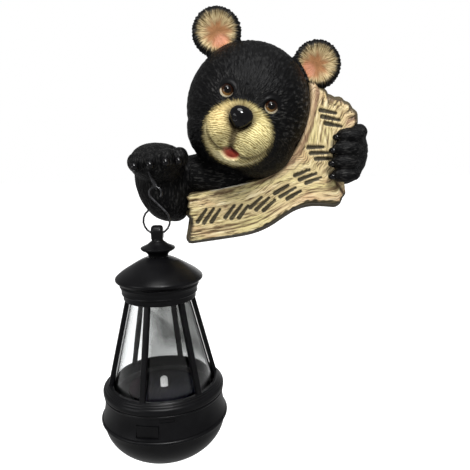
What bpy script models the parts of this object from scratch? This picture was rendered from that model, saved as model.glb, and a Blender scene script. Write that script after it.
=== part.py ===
"""A wall-hung bear cub in cast resin, holding a curved board and a small solar lantern on a wire hook.

Metres, +Z up. The wall is the plane Y = 0 and the bear looks along -Y. The origin is on the flat back,
just above the keyhole that the nail goes into.
"""

import math

import bmesh
import bpy
from mathutils import Matrix, Vector

# Fits
CLEARANCE = 0.0003

# Bear. Its form is written in shares of the head's width: one share, U, is 1/84 of that width.
HEAD_WIDTH = 0.084
SHARES = 84
HEAD_X = 0.012
HEAD_Z = -0.015
FACE_TILT = math.radians(20.5)
BLEND_SIZE = 0.0013
BLEND_PASSES = 6
BODY_TRIANGLES = 1840
BACK_SQUARENESS = 0.3
BACK_REACH = 0.8
BOARD_THICKNESS = 0.0095
BOARD_FRONT = 0.033
BOARD_DRAFT = 0.0028
BOARD_BACKING_INSET = 0.0050
STROKE_WIDTH = 0.0024
STROKE_DEPTH = 0.0012
STROKE_SLANT = math.radians(10)
EYE_RADIUS = 0.0047

# Keyhole in the back
NAIL_HEAD_RADIUS = 0.0050
NAIL_SHANK_RADIUS = 0.0022
KEYHOLE_LIP = 0.0030
KEYHOLE_DEPTH = 0.0090
KEYHOLE_DROP = 0.0110
KEYHOLE_BELOW_ORIGIN = 0.0070

# Wire hook and the wire eye in the paw
WIRE_RADIUS = 0.00065
HOOK_UPPER_RADIUS = 0.0040
HOOK_LOWER_RADIUS = 0.0086
HOOK_HEIGHT = 0.0307
EYE_HALF_SPAN = 0.0028
EYE_DEPTH_IN_PAW = 0.0060

# Lantern
LUG_THICKNESS = 0.0076
LUG_WIDTH = 0.0084
LUG_ABOVE_HOLE = 0.0041
FINIAL_NECK_RADIUS = 0.0064
FINIAL_WAIST_RADIUS = 0.0034
FLANGE_RADIUS = 0.0112
FINIAL_HEIGHT = 0.0204
FLANGE_BELOW_TOP = 0.0150
PLASTIC_WALL = 0.0016
ROOF_RADIUS = 0.0286
ROOF_HEIGHT = 0.0138
ROOF_EDGE = 0.0028
COLLAR_TOP_RADIUS = 0.0262
COLLAR_RADIUS = 0.0232
COLLAR_HEIGHT = 0.0104
WINDOW_HEIGHT = 0.0578
POST_COUNT = 6
POST_TURN = math.radians(46)
POST_WIDTH = 0.0036
POST_DEPTH = 0.0030
GLAZING_WALL = 0.0012
GLAZING_FLANGE = 0.0006
RING_RADIUS = 0.0405
RING_HEIGHT = 0.0060
FOOT_RADIUS = RING_RADIUS - 0.0031
BAND_HEIGHT = 0.0155
LIP_RADIUS = RING_RADIUS + 0.0022
LIP_HEIGHT = 0.0026
BOWL_DEPTH = 0.0290
PANEL_RADIUS = 0.0240
PANEL_THICKNESS = 0.0012
LED_RADIUS = 0.0025
LED_HEIGHT = 0.0075
POCKET_DEPTH = 0.0018
HATCH_WIDTH = 0.0140
HATCH_HEIGHT = 0.0076
HATCH_TURN = math.radians(-8)
SWITCH_LENGTH = 0.0086
SWITCH_HEIGHT = 0.0018
SWITCH_TURN = math.radians(10)

ROUND_STEPS = 28

U = HEAD_WIDTH / SHARES
HOOK_OUT = 52 * U
LANTERN_X = HEAD_X - 61.5 * U
HOOK_TOP = HEAD_Z - 49.4 * U
HOOK_BOTTOM = HOOK_TOP - HOOK_HEIGHT

# Lumps of the bear: x, out from the wall and z of the centre, from the head's, then the three half sizes
# in the same order, in shares of the head, and the tilt in the plane of the wall, in degrees.
BODY_LUMPS = {
    "chest": ((-4, 6, -56), (44, 17, 26), -6),
    "shoulder": ((-26, 16, -45), (30, 19, 15), 8),
    "forearm": ((-60.5, 20, -49), (19, 20, 28), -14),
    "elbow": ((-53, 18, -63), (11, 14, 14), 0),
    "paw": ((-62, 34, -35), (18.5, 23, 13.5), 4),
    "far forearm": ((46, 12, -33), (28, 13, 15), 0),
    "far wrist": ((54, 13, -38), (11, 14, 21), 0),
    "far paw": ((67, 22, -32), (14, 18.5, 20.5), 8),
    "far thumb": ((75, 24, -17), (5.5, 8, 5.5), 0),
}

# The same for the face, measured across and up the tilted face instead of along x and z.
FACE_LUMPS = {
    "skull": ((-0.5, 24, 0.5), (41.5, 36, 43)),
    "right jowl": ((-9, 27, -18), (27.5, 28, 26)),
    "left jowl": ((12, 27, -18), (26.5, 28, 26)),
    "muzzle": ((-1.5, 46, -19.5), (22.5, 25, 20)),
    "right cheek": ((-11.5, 56, -19), (11.5, 17, 12.5)),
    "left cheek": ((8, 56, -18.5), (12.5, 17, 13.5)),
    "chin": ((-1, 51, -29), (15, 17.5, 10)),
    "bridge": ((-2.5, 55, -10), (14, 16.5, 11.5)),
    "cheeks": ((1, 38, -18), (31, 24, 23)),
}

# Each ear's centre from the head's, and its radius. Its root lies between the two centres.
EARS = {"right": ((-20.6, 23, 49.5), 17), "left": ((45.8, 23, 27.6), 16.8)}
EAR_HALF_DEPTH = 7 * U
EAR_RIM = 3.4 * U
EAR_CUP_DEPTH = 5 * U
EAR_ROOT_SHARE = 0.74
EAR_ROOT_SIZE = (12, 8, 12)

NOSE = ((-3, 71.5, -9.4), (6.3, 5.2, 5.9))
MOUTH = ((-1.5, 67.5, -30.8), (5.6, 6, 2.6))
EYES = {"right": (-16.2, 54.4, 3), "left": (12.3, 55.4, 2.7)}

NEAR_FINGERS = [(-72.9, 51, -34), (-62.8, 53, -33), (-53, 52, -31.5), (-45.6, 47, -31)]
NEAR_FINGER_SIZE = (5.8, 8, 6.5)
FAR_FINGERS = [(66, 37, -19.5), (63.5, 38, -28), (63, 38, -36.5), (63.5, 37, -45)]
FAR_FINGER_SIZE = (10, 6.5, 5.2)
CLAW_SIZE = (2.8, 3.2, 2.8)
CLAW_FROM_FINGER = (0, 7, -2)
FAR_CLAW_SIZE = (3.2, 3, 2.4)
FAR_CLAW_FROM_FINGER = (-8.5, 0, -1)

# Board edges, as x and z from the head's centre, each a run of points that a smooth line passes through.
BOARD_LOWER = [(-42.3, -89.6), (-18.2, -86.6), (0.3, -83.6), (12, -79), (22, -72.6), (31.5, -67.2),
               (43.2, -64.6), (58.8, -65.6)]
BOARD_RIGHT = [(60.6, -64.5), (61.2, -61.5), (63.9, -58.4), (63.6, -56.6), (59.3, -54.3), (56.4, -48),
               (55.1, -40), (55.3, -30.6), (59, -23.1), (63.1, -16.5), (69.6, -14)]
BOARD_TOP = [(71.4, -10.5), (71.1, -5.1), (68.2, -2.8), (66.1, 0.7), (63, 1.6), (61, 4.1), (57.2, 3.9),
             (54.3, 5.6), (51.6, 6.3), (50.1, 9.5), (46.2, 11.7), (43.3, 15.3)]
BOARD_INNER = [(39.2, 15.2), (39.9, 2.8), (37.6, -11.1), (31.8, -26), (23.3, -37.6), (12.6, -45.3),
               (0.8, -49), (-13.1, -51.6), (-27, -54.2), (-41.2, -57)]
BOARD_LEFT = [(-43.8, -58.8), (-42.2, -61.6), (-43.2, -65.5), (-41.7, -66.6), (-42.5, -70.4),
              (-40.4, -73.4), (-39.9, -77.1), (-41.2, -80.5), (-42.9, -88.2)]
BACKING_RIGHT = [(54, -58), (52.5, -46), (52.5, -34), (56, -22), (64, -12), (60, -3), (50, 5)]

# Marks on the board, each a group of parallel strokes: x and z of its middle, and the lean of the strokes
# to the right of upright, in degrees.
MARKS = [(-28.7, -71.5, 12), (-8.8, -69, 14), (9, -62.5, 24), (25, -56, 36), (39, -46, 46),
         (46.8, -30.5, 66), (54, -8, 78)]
MARK_STROKES = ((-4.8, -1.2, 13), (0, 0, 16), (4.8, 1.2, 12.5))


def material(name, colour, roughness, metallic=0.0, transmission=0.0):
    made = bpy.data.materials.new(name)
    made.use_nodes = True
    shader = made.node_tree.nodes["Principled BSDF"]
    shader.inputs["Base Color"].default_value = (*colour, 1.0)
    shader.inputs["Roughness"].default_value = roughness
    shader.inputs["Metallic"].default_value = metallic
    shader.inputs["Transmission Weight"].default_value = transmission
    return made


def clear_scene():
    for old in list(bpy.data.objects):
        bpy.data.objects.remove(old)


def collection(name, hidden=False):
    made = bpy.data.collections.new(name)
    made.hide_render = hidden
    bpy.context.scene.collection.children.link(made)
    return made


def add_object(name, mesh):
    made = bpy.data.objects.new(name, mesh)
    bpy.context.scene.collection.objects.link(made)
    return made


def baked(obj):
    """The object with its modifiers applied, as a welded mesh, in world coordinates."""
    bpy.context.view_layer.update()
    evaluated = obj.evaluated_get(bpy.context.evaluated_depsgraph_get())
    mesh = bpy.data.meshes.new_from_object(evaluated)
    mesh.transform(obj.matrix_world)
    work = bmesh.new()
    work.from_mesh(mesh)
    bmesh.ops.remove_doubles(work, verts=work.verts, dist=1e-6)
    work.to_mesh(mesh)
    work.free()
    for slot in obj.material_slots:
        if slot.material and slot.material.name not in mesh.materials:
            mesh.materials.append(slot.material)
    name = obj.name
    bpy.data.objects.remove(obj)
    return add_object(name, mesh)


def combined(target, other, operation):
    """The target joined with, or cut by, the other object, which is used up."""
    step = target.modifiers.new(operation, "BOOLEAN")
    step.operation = operation
    step.object = other
    step.material_mode = "TRANSFER"
    made = baked(target)
    bpy.data.objects.remove(other)
    return made


def painted(obj, paint):
    obj.data.materials.clear()
    obj.data.materials.append(paint)
    return obj


def ellipsoid(name, centre, half_sizes, turn=0.0, segments=32, rings=16):
    """A ball stretched along x, y and z, then turned in the plane of the wall."""
    bpy.ops.mesh.primitive_uv_sphere_add(segments=segments, ring_count=rings, radius=1)
    made = bpy.context.object
    made.name = name
    place = Matrix.Translation(centre) @ Matrix.Rotation(turn, 4, "Y") @ Matrix.Diagonal((*half_sizes, 1))
    made.data.transform(place)
    return made


def lump(name, centre, half_sizes, turn=0.0):
    """An ellipsoid whose back is a squarer form that runs past the wall, for a broad flat back."""
    made = ellipsoid(name, (0, 0, 0), (1, 1, 1))
    reach = -centre[1] / (BACK_REACH * half_sizes[1])
    for vertex in made.data.vertices:
        x, y, z = vertex.co
        if y > 0:
            spread = max(math.hypot(x, z), 1e-6) ** (BACK_SQUARENESS - 1)
            vertex.co = (x * spread, y * reach, z * spread)
    place = Matrix.Translation(centre) @ Matrix.Rotation(turn, 4, "Y") @ Matrix.Diagonal((*half_sizes, 1))
    made.data.transform(place)
    return made


def cylinder(name, radius, start, end, sides=24):
    """A round bar between two points."""
    start, end = Vector(start), Vector(end)
    along = end - start
    bpy.ops.mesh.primitive_cylinder_add(vertices=sides, radius=radius, depth=along.length)
    made = bpy.context.object
    made.name = name
    turn = along.to_track_quat("Z", "Y").to_matrix().to_4x4()
    made.data.transform(Matrix.Translation((start + end) / 2) @ turn)
    return made


def box(name, centre, sizes, turn=None):
    bpy.ops.mesh.primitive_cube_add(size=1)
    made = bpy.context.object
    made.name = name
    turn = turn or Matrix.Identity(4)
    made.data.transform(Matrix.Translation(centre) @ turn @ Matrix.Diagonal((*sizes, 1)))
    return made


def turned(name, profile, x, y, steps=ROUND_STEPS):
    """A solid turned about the upright line at x, y, from radius and height points down its outer side."""
    mesh = bpy.data.meshes.new(name)
    mesh.from_pydata([(radius, 0, height) for radius, height in profile],
                     [(i, i + 1) for i in range(len(profile) - 1)], [])
    made = add_object(name, mesh)
    made.location = (x, y, 0)
    screw = made.modifiers.new("turn", "SCREW")
    screw.steps = steps
    screw.render_steps = steps
    screw.use_merge_vertices = True
    screw.merge_threshold = 1e-5
    return baked(made)


def ring_profile(outer, inner):
    """A closed profile from the points down its outer side and those down its inner side."""
    return outer + inner[::-1] + outer[:1]


def wire(name, points, radius, resolution=2):
    """A round wire along points, with closed ends."""
    curve = bpy.data.curves.new(name, "CURVE")
    curve.dimensions = "3D"
    curve.bevel_depth = radius
    curve.bevel_resolution = resolution
    curve.use_fill_caps = True
    spline = curve.splines.new("POLY")
    spline.points.add(len(points) - 1)
    for point, place in zip(spline.points, points):
        point.co = (*place, 1)
    return baked(add_object(name, curve))


def slab(name, outline, front, back):
    """A flat outline in x and z, given thickness from y = front to y = back."""
    curve = bpy.data.curves.new(name, "CURVE")
    curve.dimensions = "2D"
    curve.fill_mode = "BOTH"
    curve.extrude = abs(back - front) / 2
    spline = curve.splines.new("POLY")
    spline.use_cyclic_u = True
    spline.points.add(len(outline) - 1)
    for point, (x, z) in zip(spline.points, outline):
        point.co = (x, z, 0, 1)
    made = add_object(name, curve)
    upright = Matrix.Rotation(math.radians(90), 4, "X")
    made.matrix_world = Matrix.Translation((0, (front + back) / 2, 0)) @ upright
    return baked(made)


def arc(centre, radius, start, end, steps):
    """Points on an arc in the x, z plane, by angle from +X towards +Z."""
    angles = [start + (end - start) * i / steps for i in range(steps + 1)]
    return [(centre[0] + radius * math.cos(a), centre[1] + radius * math.sin(a)) for a in angles]


def smooth_line(points, steps=3):
    """A smooth line through the points, with a few steps between each pair."""
    ends = [points[0], *points, points[-1]]
    line = []
    for before, start, end, after in zip(ends, ends[1:], ends[2:], ends[3:]):
        for i in range(steps):
            t = i / steps
            line.append(tuple(
                b + ((c - a) * t + (2 * a - 5 * b + 4 * c - d) * t**2 + (3 * b - a - 3 * c + d) * t**3) / 2
                for a, b, c, d in zip(before, start, end, after)))
    return [*line, points[-1]]


def from_head(x, out, z):
    """A point given in shares of the head, from its centre and out from the wall."""
    return Vector((HEAD_X + x * U, -out * U, HEAD_Z + z * U))


def from_face(across, out, up):
    """The same, measured across and up the tilted face."""
    x = across * math.cos(FACE_TILT) + up * math.sin(FACE_TILT)
    z = up * math.cos(FACE_TILT) - across * math.sin(FACE_TILT)
    return from_head(x, out, z)


def on_wall(points):
    """The x and z of points given in shares from the head's centre."""
    return [Vector((HEAD_X + x * U, HEAD_Z + z * U)) for x, z in points]


def in_shares(*sizes):
    return [size * U for size in sizes]


def board_backing():
    """The bear's body behind the board. It stops short of the lower edge and runs past the inner one."""
    lower = on_wall(smooth_line(BOARD_LOWER))
    inner = on_wall(smooth_line(BOARD_INNER))
    short = widened(lower + inner, -BOARD_BACKING_INSET)[:len(lower) - 1]
    past = widened(lower + inner, BOARD_BACKING_INSET)[len(lower):]
    front = BOARD_THICKNESS - BOARD_FRONT - BLEND_SIZE * 2
    return slab("backing", short + on_wall(BACKING_RIGHT) + past, front, BLEND_SIZE * 4)


def soft_body():
    """The head, ears, arms and paws as lumps that are melted together, then reduced to flat facets."""
    lumps = [board_backing()]
    for name, (centre, half, tilt) in BODY_LUMPS.items():
        lumps.append(lump(name, from_head(*centre), in_shares(*half), math.radians(tilt)))
    for name, (centre, half) in FACE_LUMPS.items():
        shape = lump if name in ("skull", "right jowl", "left jowl") else ellipsoid
        lumps.append(shape(name, from_face(*centre), in_shares(*half), FACE_TILT))
    for name, (centre, radius) in EARS.items():
        x, out, z = centre
        disc = (radius * U, EAR_HALF_DEPTH, radius * U)
        lumps.append(ellipsoid(name + " ear", from_head(*centre), disc))
        root = from_head(x * EAR_ROOT_SHARE, out, z * EAR_ROOT_SHARE)
        lumps.append(ellipsoid("ear root", root, in_shares(*EAR_ROOT_SIZE)))
    for centre in NEAR_FINGERS:
        lumps.append(ellipsoid("finger", from_head(*centre), in_shares(*NEAR_FINGER_SIZE)))
    for centre in FAR_FINGERS:
        lumps.append(ellipsoid("far finger", from_head(*centre), in_shares(*FAR_FINGER_SIZE)))
    joined = bmesh.new()
    for part in lumps:
        joined.from_mesh(part.data)
        bpy.data.objects.remove(part)
    mesh = bpy.data.meshes.new("bear_casting")
    joined.to_mesh(mesh)
    joined.free()
    body = add_object("bear_casting", mesh)
    melt = body.modifiers.new("melt", "REMESH")
    melt.mode = "VOXEL"
    melt.voxel_size = BLEND_SIZE
    soften = body.modifiers.new("soften", "SMOOTH")
    soften.iterations = BLEND_PASSES
    body = baked(body)
    body.data.calc_loop_triangles()
    reduce = body.modifiers.new("reduce", "DECIMATE")
    reduce.ratio = BODY_TRIANGLES / len(body.data.loop_triangles)
    return baked(body)


def board_outline():
    """The board's outline, with smooth long edges and splintered ends."""
    shares = smooth_line(BOARD_LOWER) + BOARD_RIGHT + BOARD_TOP + smooth_line(BOARD_INNER) + BOARD_LEFT
    return on_wall(shares)


def widened(outline, distance):
    """The outline with every point moved outwards, for an outline that runs anticlockwise."""
    moved = []
    for before, point, after in zip(outline[-1:] + outline[:-1], outline, outline[1:] + outline[:1]):
        along = (after - before).normalized()
        moved.append(point + Vector((along.y, -along.x)) * distance)
    return moved


def board():
    """The board, a little wider at the back so that it leaves its mould."""
    front = board_outline()
    back = widened(front, BOARD_DRAFT)
    work = bmesh.new()
    rings = []
    for outline, y in ((front, -BOARD_FRONT), (back, BOARD_THICKNESS - BOARD_FRONT)):
        rings.append([work.verts.new((point.x, y, point.y)) for point in outline])
    work.faces.new(rings[0])
    work.faces.new(rings[1][::-1])
    count = len(front)
    for i in range(count):
        j = (i + 1) % count
        work.faces.new((rings[0][j], rings[0][i], rings[1][i], rings[1][j]))
    bmesh.ops.recalc_face_normals(work, faces=work.faces)
    mesh = bpy.data.meshes.new("board")
    work.to_mesh(mesh)
    work.free()
    return add_object("board", mesh)


def cut_marks(casting):
    """Groups of shallow parallel strokes along the board: flattened balls sunk in its face."""
    for x, z, lean in MARKS:
        turn = math.radians(lean)
        for along, up, length in MARK_STROKES:
            centre = from_head(x + along * math.cos(turn) + up * math.sin(turn), 0,
                               z - along * math.sin(turn) + up * math.cos(turn))
            centre.y = -BOARD_FRONT
            half = (STROKE_WIDTH / 2, STROKE_DEPTH, length * U / 2)
            stroke = ellipsoid("stroke", centre, half, turn + STROKE_SLANT, segments=4, rings=5)
            casting = combined(casting, stroke, "DIFFERENCE")
    return casting


def keyhole_cutters():
    """The nail head's way in, the narrower slot above it, and the space behind them that takes the head."""
    top = -KEYHOLE_BELOW_ORIGIN - NAIL_SHANK_RADIUS
    entry = top - KEYHOLE_DROP
    slot_angle = math.asin(NAIL_SHANK_RADIUS / NAIL_HEAD_RADIUS)
    outline = arc((0, top), NAIL_SHANK_RADIUS, 0, math.pi, 8)
    outline += arc((0, entry), NAIL_HEAD_RADIUS, math.pi / 2 + slot_angle, 2.5 * math.pi - slot_angle, 20)
    chamber = arc((0, top), NAIL_HEAD_RADIUS, 0, math.pi, 12)
    chamber += arc((0, entry), NAIL_HEAD_RADIUS, math.pi, 2 * math.pi, 12)
    return [slab("keyhole", outline, -KEYHOLE_LIP - CLEARANCE, CLEARANCE * 5),
            slab("keyhole chamber", chamber, -KEYHOLE_DEPTH, -KEYHOLE_LIP)]


def wire_eye_path():
    """A leaning staple whose legs stand in the paw, with the hook hanging in its bend."""
    bend = Vector((LANTERN_X, -HOOK_OUT, HOOK_TOP - 2 * WIRE_RADIUS - CLEARANCE + EYE_HALF_SPAN))
    lean = Vector((-3.4, 0, 9)).normalized()
    legs = lean * (EYE_DEPTH_IN_PAW + 6 * U)
    side = Vector((0, 1, 0))
    steps = 8
    turn = []
    for i in range(steps + 1):
        angle = math.pi * i / steps
        turn.append(bend + (side * math.cos(angle) - lean * math.sin(angle)) * EYE_HALF_SPAN)
    return [turn[0] + legs, *turn, turn[-1] + legs]


def bear_casting(black, wood, gloss):
    """The bear and its board, cast as one with a flat back."""
    casting = painted(soft_body(), black)
    casting = combined(casting, painted(board(), wood), "UNION")
    centre, half = NOSE
    nose = ellipsoid("nose", from_face(*centre), in_shares(*half), FACE_TILT, segments=12, rings=7)
    casting = combined(casting, painted(nose, gloss), "UNION")
    for fingers, step, size in ((NEAR_FINGERS, CLAW_FROM_FINGER, CLAW_SIZE),
                                (FAR_FINGERS, FAR_CLAW_FROM_FINGER, FAR_CLAW_SIZE)):
        for finger in fingers:
            place = from_head(*(a + b for a, b in zip(finger, step)))
            claw = ellipsoid("claw", place, in_shares(*size), segments=8, rings=5)
            casting = combined(casting, painted(claw, gloss), "UNION")
    for centre, radius in EARS.values():
        place = from_head(*centre) - Vector((0, EAR_HALF_DEPTH, 0))
        inner = radius * U - EAR_RIM
        cup = ellipsoid("ear cup", place, (inner, EAR_CUP_DEPTH, inner), segments=14, rings=7)
        casting = combined(casting, cup, "DIFFERENCE")
    centre, half = MOUTH
    mouth = ellipsoid("mouth", from_face(*centre), in_shares(*half), FACE_TILT, segments=12, rings=8)
    casting = combined(casting, mouth, "DIFFERENCE")
    for centre in EYES.values():
        socket = ellipsoid("socket", from_face(*centre), [EYE_RADIUS + CLEARANCE] * 3, segments=12, rings=8)
        casting = combined(casting, socket, "DIFFERENCE")
    casting = cut_marks(casting)
    casting = combined(casting, wire("wire holes", wire_eye_path(), WIRE_RADIUS + CLEARANCE), "DIFFERENCE")
    room = HEAD_WIDTH * 4
    casting = combined(casting, box("wall", (0, room / 2, 0), (room, room, room)), "DIFFERENCE")
    for cutter in keyhole_cutters():
        casting = combined(casting, cutter, "DIFFERENCE")
    return casting


def eyes(glass):
    made = []
    for name, centre in EYES.items():
        eye = ellipsoid(name + "_eye", from_face(*centre), [EYE_RADIUS] * 3, segments=12, rings=8)
        made.append(painted(eye, glass))
    return made


def hook_path():
    """An S of two arcs in the plane of the wall, joined by a straight run that crosses between them."""
    upper = (LANTERN_X, HOOK_TOP - HOOK_UPPER_RADIUS)
    lower = (LANTERN_X, HOOK_BOTTOM + HOOK_LOWER_RADIUS)
    slant = math.acos((HOOK_UPPER_RADIUS + HOOK_LOWER_RADIUS) / (upper[1] - lower[1]))
    leave = math.pi / 2 - slant
    points = arc(lower, HOOK_LOWER_RADIUS, math.radians(125), math.tau + leave, 14)
    points += arc(upper, HOOK_UPPER_RADIUS, math.pi + leave, math.radians(-40), 12)
    return [Vector((x, -HOOK_OUT, z)) for x, z in points]


def hook_rise_in_lug():
    """How far the hook's wire rises between the middle of the lug and its faces."""
    return HOOK_LOWER_RADIUS - math.sqrt(HOOK_LOWER_RADIUS**2 - (LUG_THICKNESS / 2) ** 2)


def lug_hole():
    """Radius and height of the hole that the hook's curved wire passes through."""
    rise = hook_rise_in_lug()
    top = HOOK_BOTTOM + rise + WIRE_RADIUS + CLEARANCE
    bottom = HOOK_BOTTOM - WIRE_RADIUS - CLEARANCE
    return (top - bottom) / 2, (top + bottom) / 2


def finial(plastic):
    """The knob on the roof, with a flat lug on top that the hook passes through."""
    radius, height = lug_hole()
    top = height + radius + LUG_ABOVE_HOLE
    flange = top - FLANGE_BELOW_TOP
    foot = top - FINIAL_HEIGHT
    waist = flange + 0.0060
    profile = [(0, waist + 0.0020), (FINIAL_WAIST_RADIUS, waist + 0.0020),
               (FINIAL_WAIST_RADIUS + 0.0004, waist - 0.0010), (FLANGE_RADIUS * 0.6, flange + 0.0026),
               (FLANGE_RADIUS - 0.0006, flange + 0.0010), (FLANGE_RADIUS, flange),
               (FLANGE_RADIUS - 0.0008, flange - 0.0011), (FINIAL_NECK_RADIUS + 0.0008, flange - 0.0032),
               (FINIAL_NECK_RADIUS, foot), (0, foot)]
    body = turned("finial", profile, LANTERN_X, -HOOK_OUT, 24)
    half = LUG_WIDTH / 2
    outline = [(half * 0.8, waist)] + arc((0, top - half), half, 0, math.pi, 10) + [(-half * 0.8, waist)]
    lug = slab("lug", outline, -LUG_THICKNESS / 2, LUG_THICKNESS / 2)
    lug.matrix_world = around_axis(math.pi)
    edge = lug.modifiers.new("edge", "BEVEL")
    edge.width = LUG_THICKNESS / 6
    edge.segments = 2
    edge.limit_method = "ANGLE"
    edge.angle_limit = math.radians(60)
    body = combined(body, baked(lug), "UNION")
    ends = [(LANTERN_X + side * LUG_THICKNESS, -HOOK_OUT, height) for side in (-1, 1)]
    hole = cylinder("lug hole", radius, *ends, 16)
    return painted(combined(body, hole, "DIFFERENCE"), plastic), foot


def roof(plastic, top):
    """A hollow cone with a rounded edge, closed under the finial."""
    crown = top - CLEARANCE
    edge = crown - ROOF_HEIGHT
    bottom = edge - ROOF_EDGE
    neck = FINIAL_NECK_RADIUS + PLASTIC_WALL / 2
    slope = ROOF_RADIUS - neck
    outer = [(0, crown), (neck, crown), (neck + slope * 0.22, edge + ROOF_HEIGHT * 0.86),
             (neck + slope * 0.80, edge + ROOF_HEIGHT * 0.32), (ROOF_RADIUS - 0.0008, edge + 0.0016),
             (ROOF_RADIUS, edge), (ROOF_RADIUS - 0.0008, edge - 0.0013),
             (COLLAR_TOP_RADIUS, bottom)]
    ceiling = crown - PLASTIC_WALL * 1.6
    inner = [(0, ceiling), (neck - PLASTIC_WALL / 2, ceiling),
             (neck + slope * 0.74, edge + ROOF_HEIGHT * 0.20), (COLLAR_TOP_RADIUS - PLASTIC_WALL, bottom)]
    made = turned("lantern_roof", outer + inner[::-1], LANTERN_X, -HOOK_OUT)
    return painted(made, plastic), bottom


def around_axis(angle):
    """A placement on the lantern's axis whose +X points outwards, at an angle from the front towards +X."""
    return Matrix.Translation((LANTERN_X, -HOOK_OUT, 0)) @ Matrix.Rotation(angle - math.pi / 2, 4, "Z")


def window_radius(share):
    """Outer radius of the posts, from the collar at 0 to the foot at 1."""
    return COLLAR_RADIUS - 0.0006 + (FOOT_RADIUS - COLLAR_RADIUS) * share


def cage(plastic, top):
    """The collar, the leaning posts and the foot ring, moulded as one."""
    top -= CLEARANCE
    bottom = top - COLLAR_HEIGHT
    sill = bottom - WINDOW_HEIGHT
    collar_inner = COLLAR_RADIUS - PLASTIC_WALL * 1.5
    collar = ring_profile(
        [(COLLAR_TOP_RADIUS - CLEARANCE, top), (COLLAR_RADIUS + 0.0010, top - COLLAR_HEIGHT * 0.6),
         (COLLAR_RADIUS, bottom)],
        [(collar_inner, top), (collar_inner, bottom)])
    made = turned("lantern_cage", collar, LANTERN_X, -HOOK_OUT)
    ring_inner = FOOT_RADIUS - POST_DEPTH
    foot = ring_profile(
        [(FOOT_RADIUS, sill + 0.0008), (RING_RADIUS - 0.0014, sill - 0.0014), (RING_RADIUS, sill - 0.0034),
         (RING_RADIUS, sill - RING_HEIGHT)],
        [(ring_inner, sill + 0.0008), (ring_inner, sill - RING_HEIGHT)])
    made = combined(made, turned("foot ring", foot, LANTERN_X, -HOOK_OUT), "UNION")
    high = bottom + COLLAR_HEIGHT * 0.25
    low = sill - RING_HEIGHT * 0.35
    upper = window_radius(0) - POST_DEPTH / 2
    lower = window_radius(1) - POST_DEPTH / 2
    lean = math.atan2(lower - upper, bottom - sill)
    middle = Vector(((upper + lower) / 2, 0, (high + low) / 2))
    for i in range(POST_COUNT):
        angle = POST_TURN + math.tau * i / POST_COUNT
        post = box("post", (0, 0, 0), (POST_DEPTH, POST_WIDTH, (high - low) / math.cos(lean)))
        post.data.transform(Matrix.Translation(middle) @ Matrix.Rotation(-lean, 4, "Y"))
        post.data.transform(around_axis(angle))
        made = combined(made, post, "UNION")
    return painted(made, plastic), bottom, sill


def glazing(clear, collar_bottom, sill):
    """One clear tapered shell behind the posts, from inside the collar down to the lantern's floor."""
    fit = POST_DEPTH + CLEARANCE * 1.5
    share_up = 0.10
    high = collar_bottom + WINDOW_HEIGHT * share_up
    low = sill - RING_HEIGHT + CLEARANCE
    top_radius = window_radius(-share_up) - fit
    low_radius = window_radius(1) - fit
    flange = low + GLAZING_WALL
    outer = [(top_radius, high), (low_radius, sill), (low_radius, flange),
             (low_radius + GLAZING_FLANGE, flange), (low_radius + GLAZING_FLANGE, low)]
    inner = [(top_radius - GLAZING_WALL, high), (low_radius - GLAZING_WALL, sill),
             (low_radius - GLAZING_WALL, low)]
    return painted(turned("lantern_glazing", ring_profile(outer, inner), LANTERN_X, -HOOK_OUT), clear)


def base_housing(sill):
    """The band under the cage: a floor for the solar cell, and a side wall that flares to the lip."""
    top = sill - RING_HEIGHT - CLEARANCE
    bottom = top - BAND_HEIGHT
    wall = RING_RADIUS - PLASTIC_WALL * 1.5
    outer = [(0, top), (RING_RADIUS - 0.0008, top), (RING_RADIUS - 0.0008, top - BAND_HEIGHT * 0.35),
             (LIP_RADIUS - 0.0010, bottom)]
    inner = [(0, top - PLASTIC_WALL), (wall, top - PLASTIC_WALL), (wall, bottom)]
    return turned("base_housing", outer + inner[::-1], LANTERN_X, -HOOK_OUT), top, bottom


def fitted_blocks(housing, plastic, top, bottom):
    """The battery hatch and the switch slider, each a loose fit in its own pocket in the band."""
    middle = (top + bottom) / 2
    made = []
    shapes = {
        "battery_hatch": (HATCH_TURN, -0.16, HATCH_WIDTH, HATCH_HEIGHT, CLEARANCE),
        "switch_slider": (SWITCH_TURN, 0.29, SWITCH_LENGTH, SWITCH_HEIGHT, -CLEARANCE * 2),
    }
    for name, (angle, rise, width, tall, proud) in shapes.items():
        height = middle + BAND_HEIGHT * rise
        face = math.sqrt((RING_RADIUS - CLEARANCE) ** 2 - (width / 2) ** 2)
        place = around_axis(angle) @ Matrix.Translation((face, 0, height))
        pocket = (2 * POCKET_DEPTH, width + 2 * CLEARANCE, tall + 2 * CLEARANCE)
        thickness = POCKET_DEPTH - CLEARANCE + proud
        shift = Matrix.Translation((proud - thickness / 2, 0, 0))
        housing = combined(housing, box("pocket", (0, 0, 0), pocket, place), "DIFFERENCE")
        made.append(painted(box(name, (0, 0, 0), (thickness, width, tall), place @ shift), plastic))
    return painted(housing, plastic), made


def base_bowl(plastic, top):
    """The rounded bottom cup, with the lip that sits under the band."""
    top -= CLEARANCE
    base = top - LIP_HEIGHT
    outside = LIP_RADIUS - 0.0018
    inside = outside - PLASTIC_WALL
    steps = 6
    angles = [math.pi / 2 * i / steps for i in range(steps)]
    curve = [(math.cos(angle), math.sin(angle)) for angle in angles] + [(0, 1)]
    outer = [(LIP_RADIUS - 0.0008, top), (LIP_RADIUS, top - LIP_HEIGHT * 0.5)]
    outer += [(outside * across, base - BOWL_DEPTH * down) for across, down in curve]
    inner = [(inside, top)]
    inner += [(inside * across, base - (BOWL_DEPTH - PLASTIC_WALL) * down) for across, down in curve[1:]]
    return painted(turned("base_bowl", [*outer, *inner[::-1], outer[0]], LANTERN_X, -HOOK_OUT), plastic)


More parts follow.
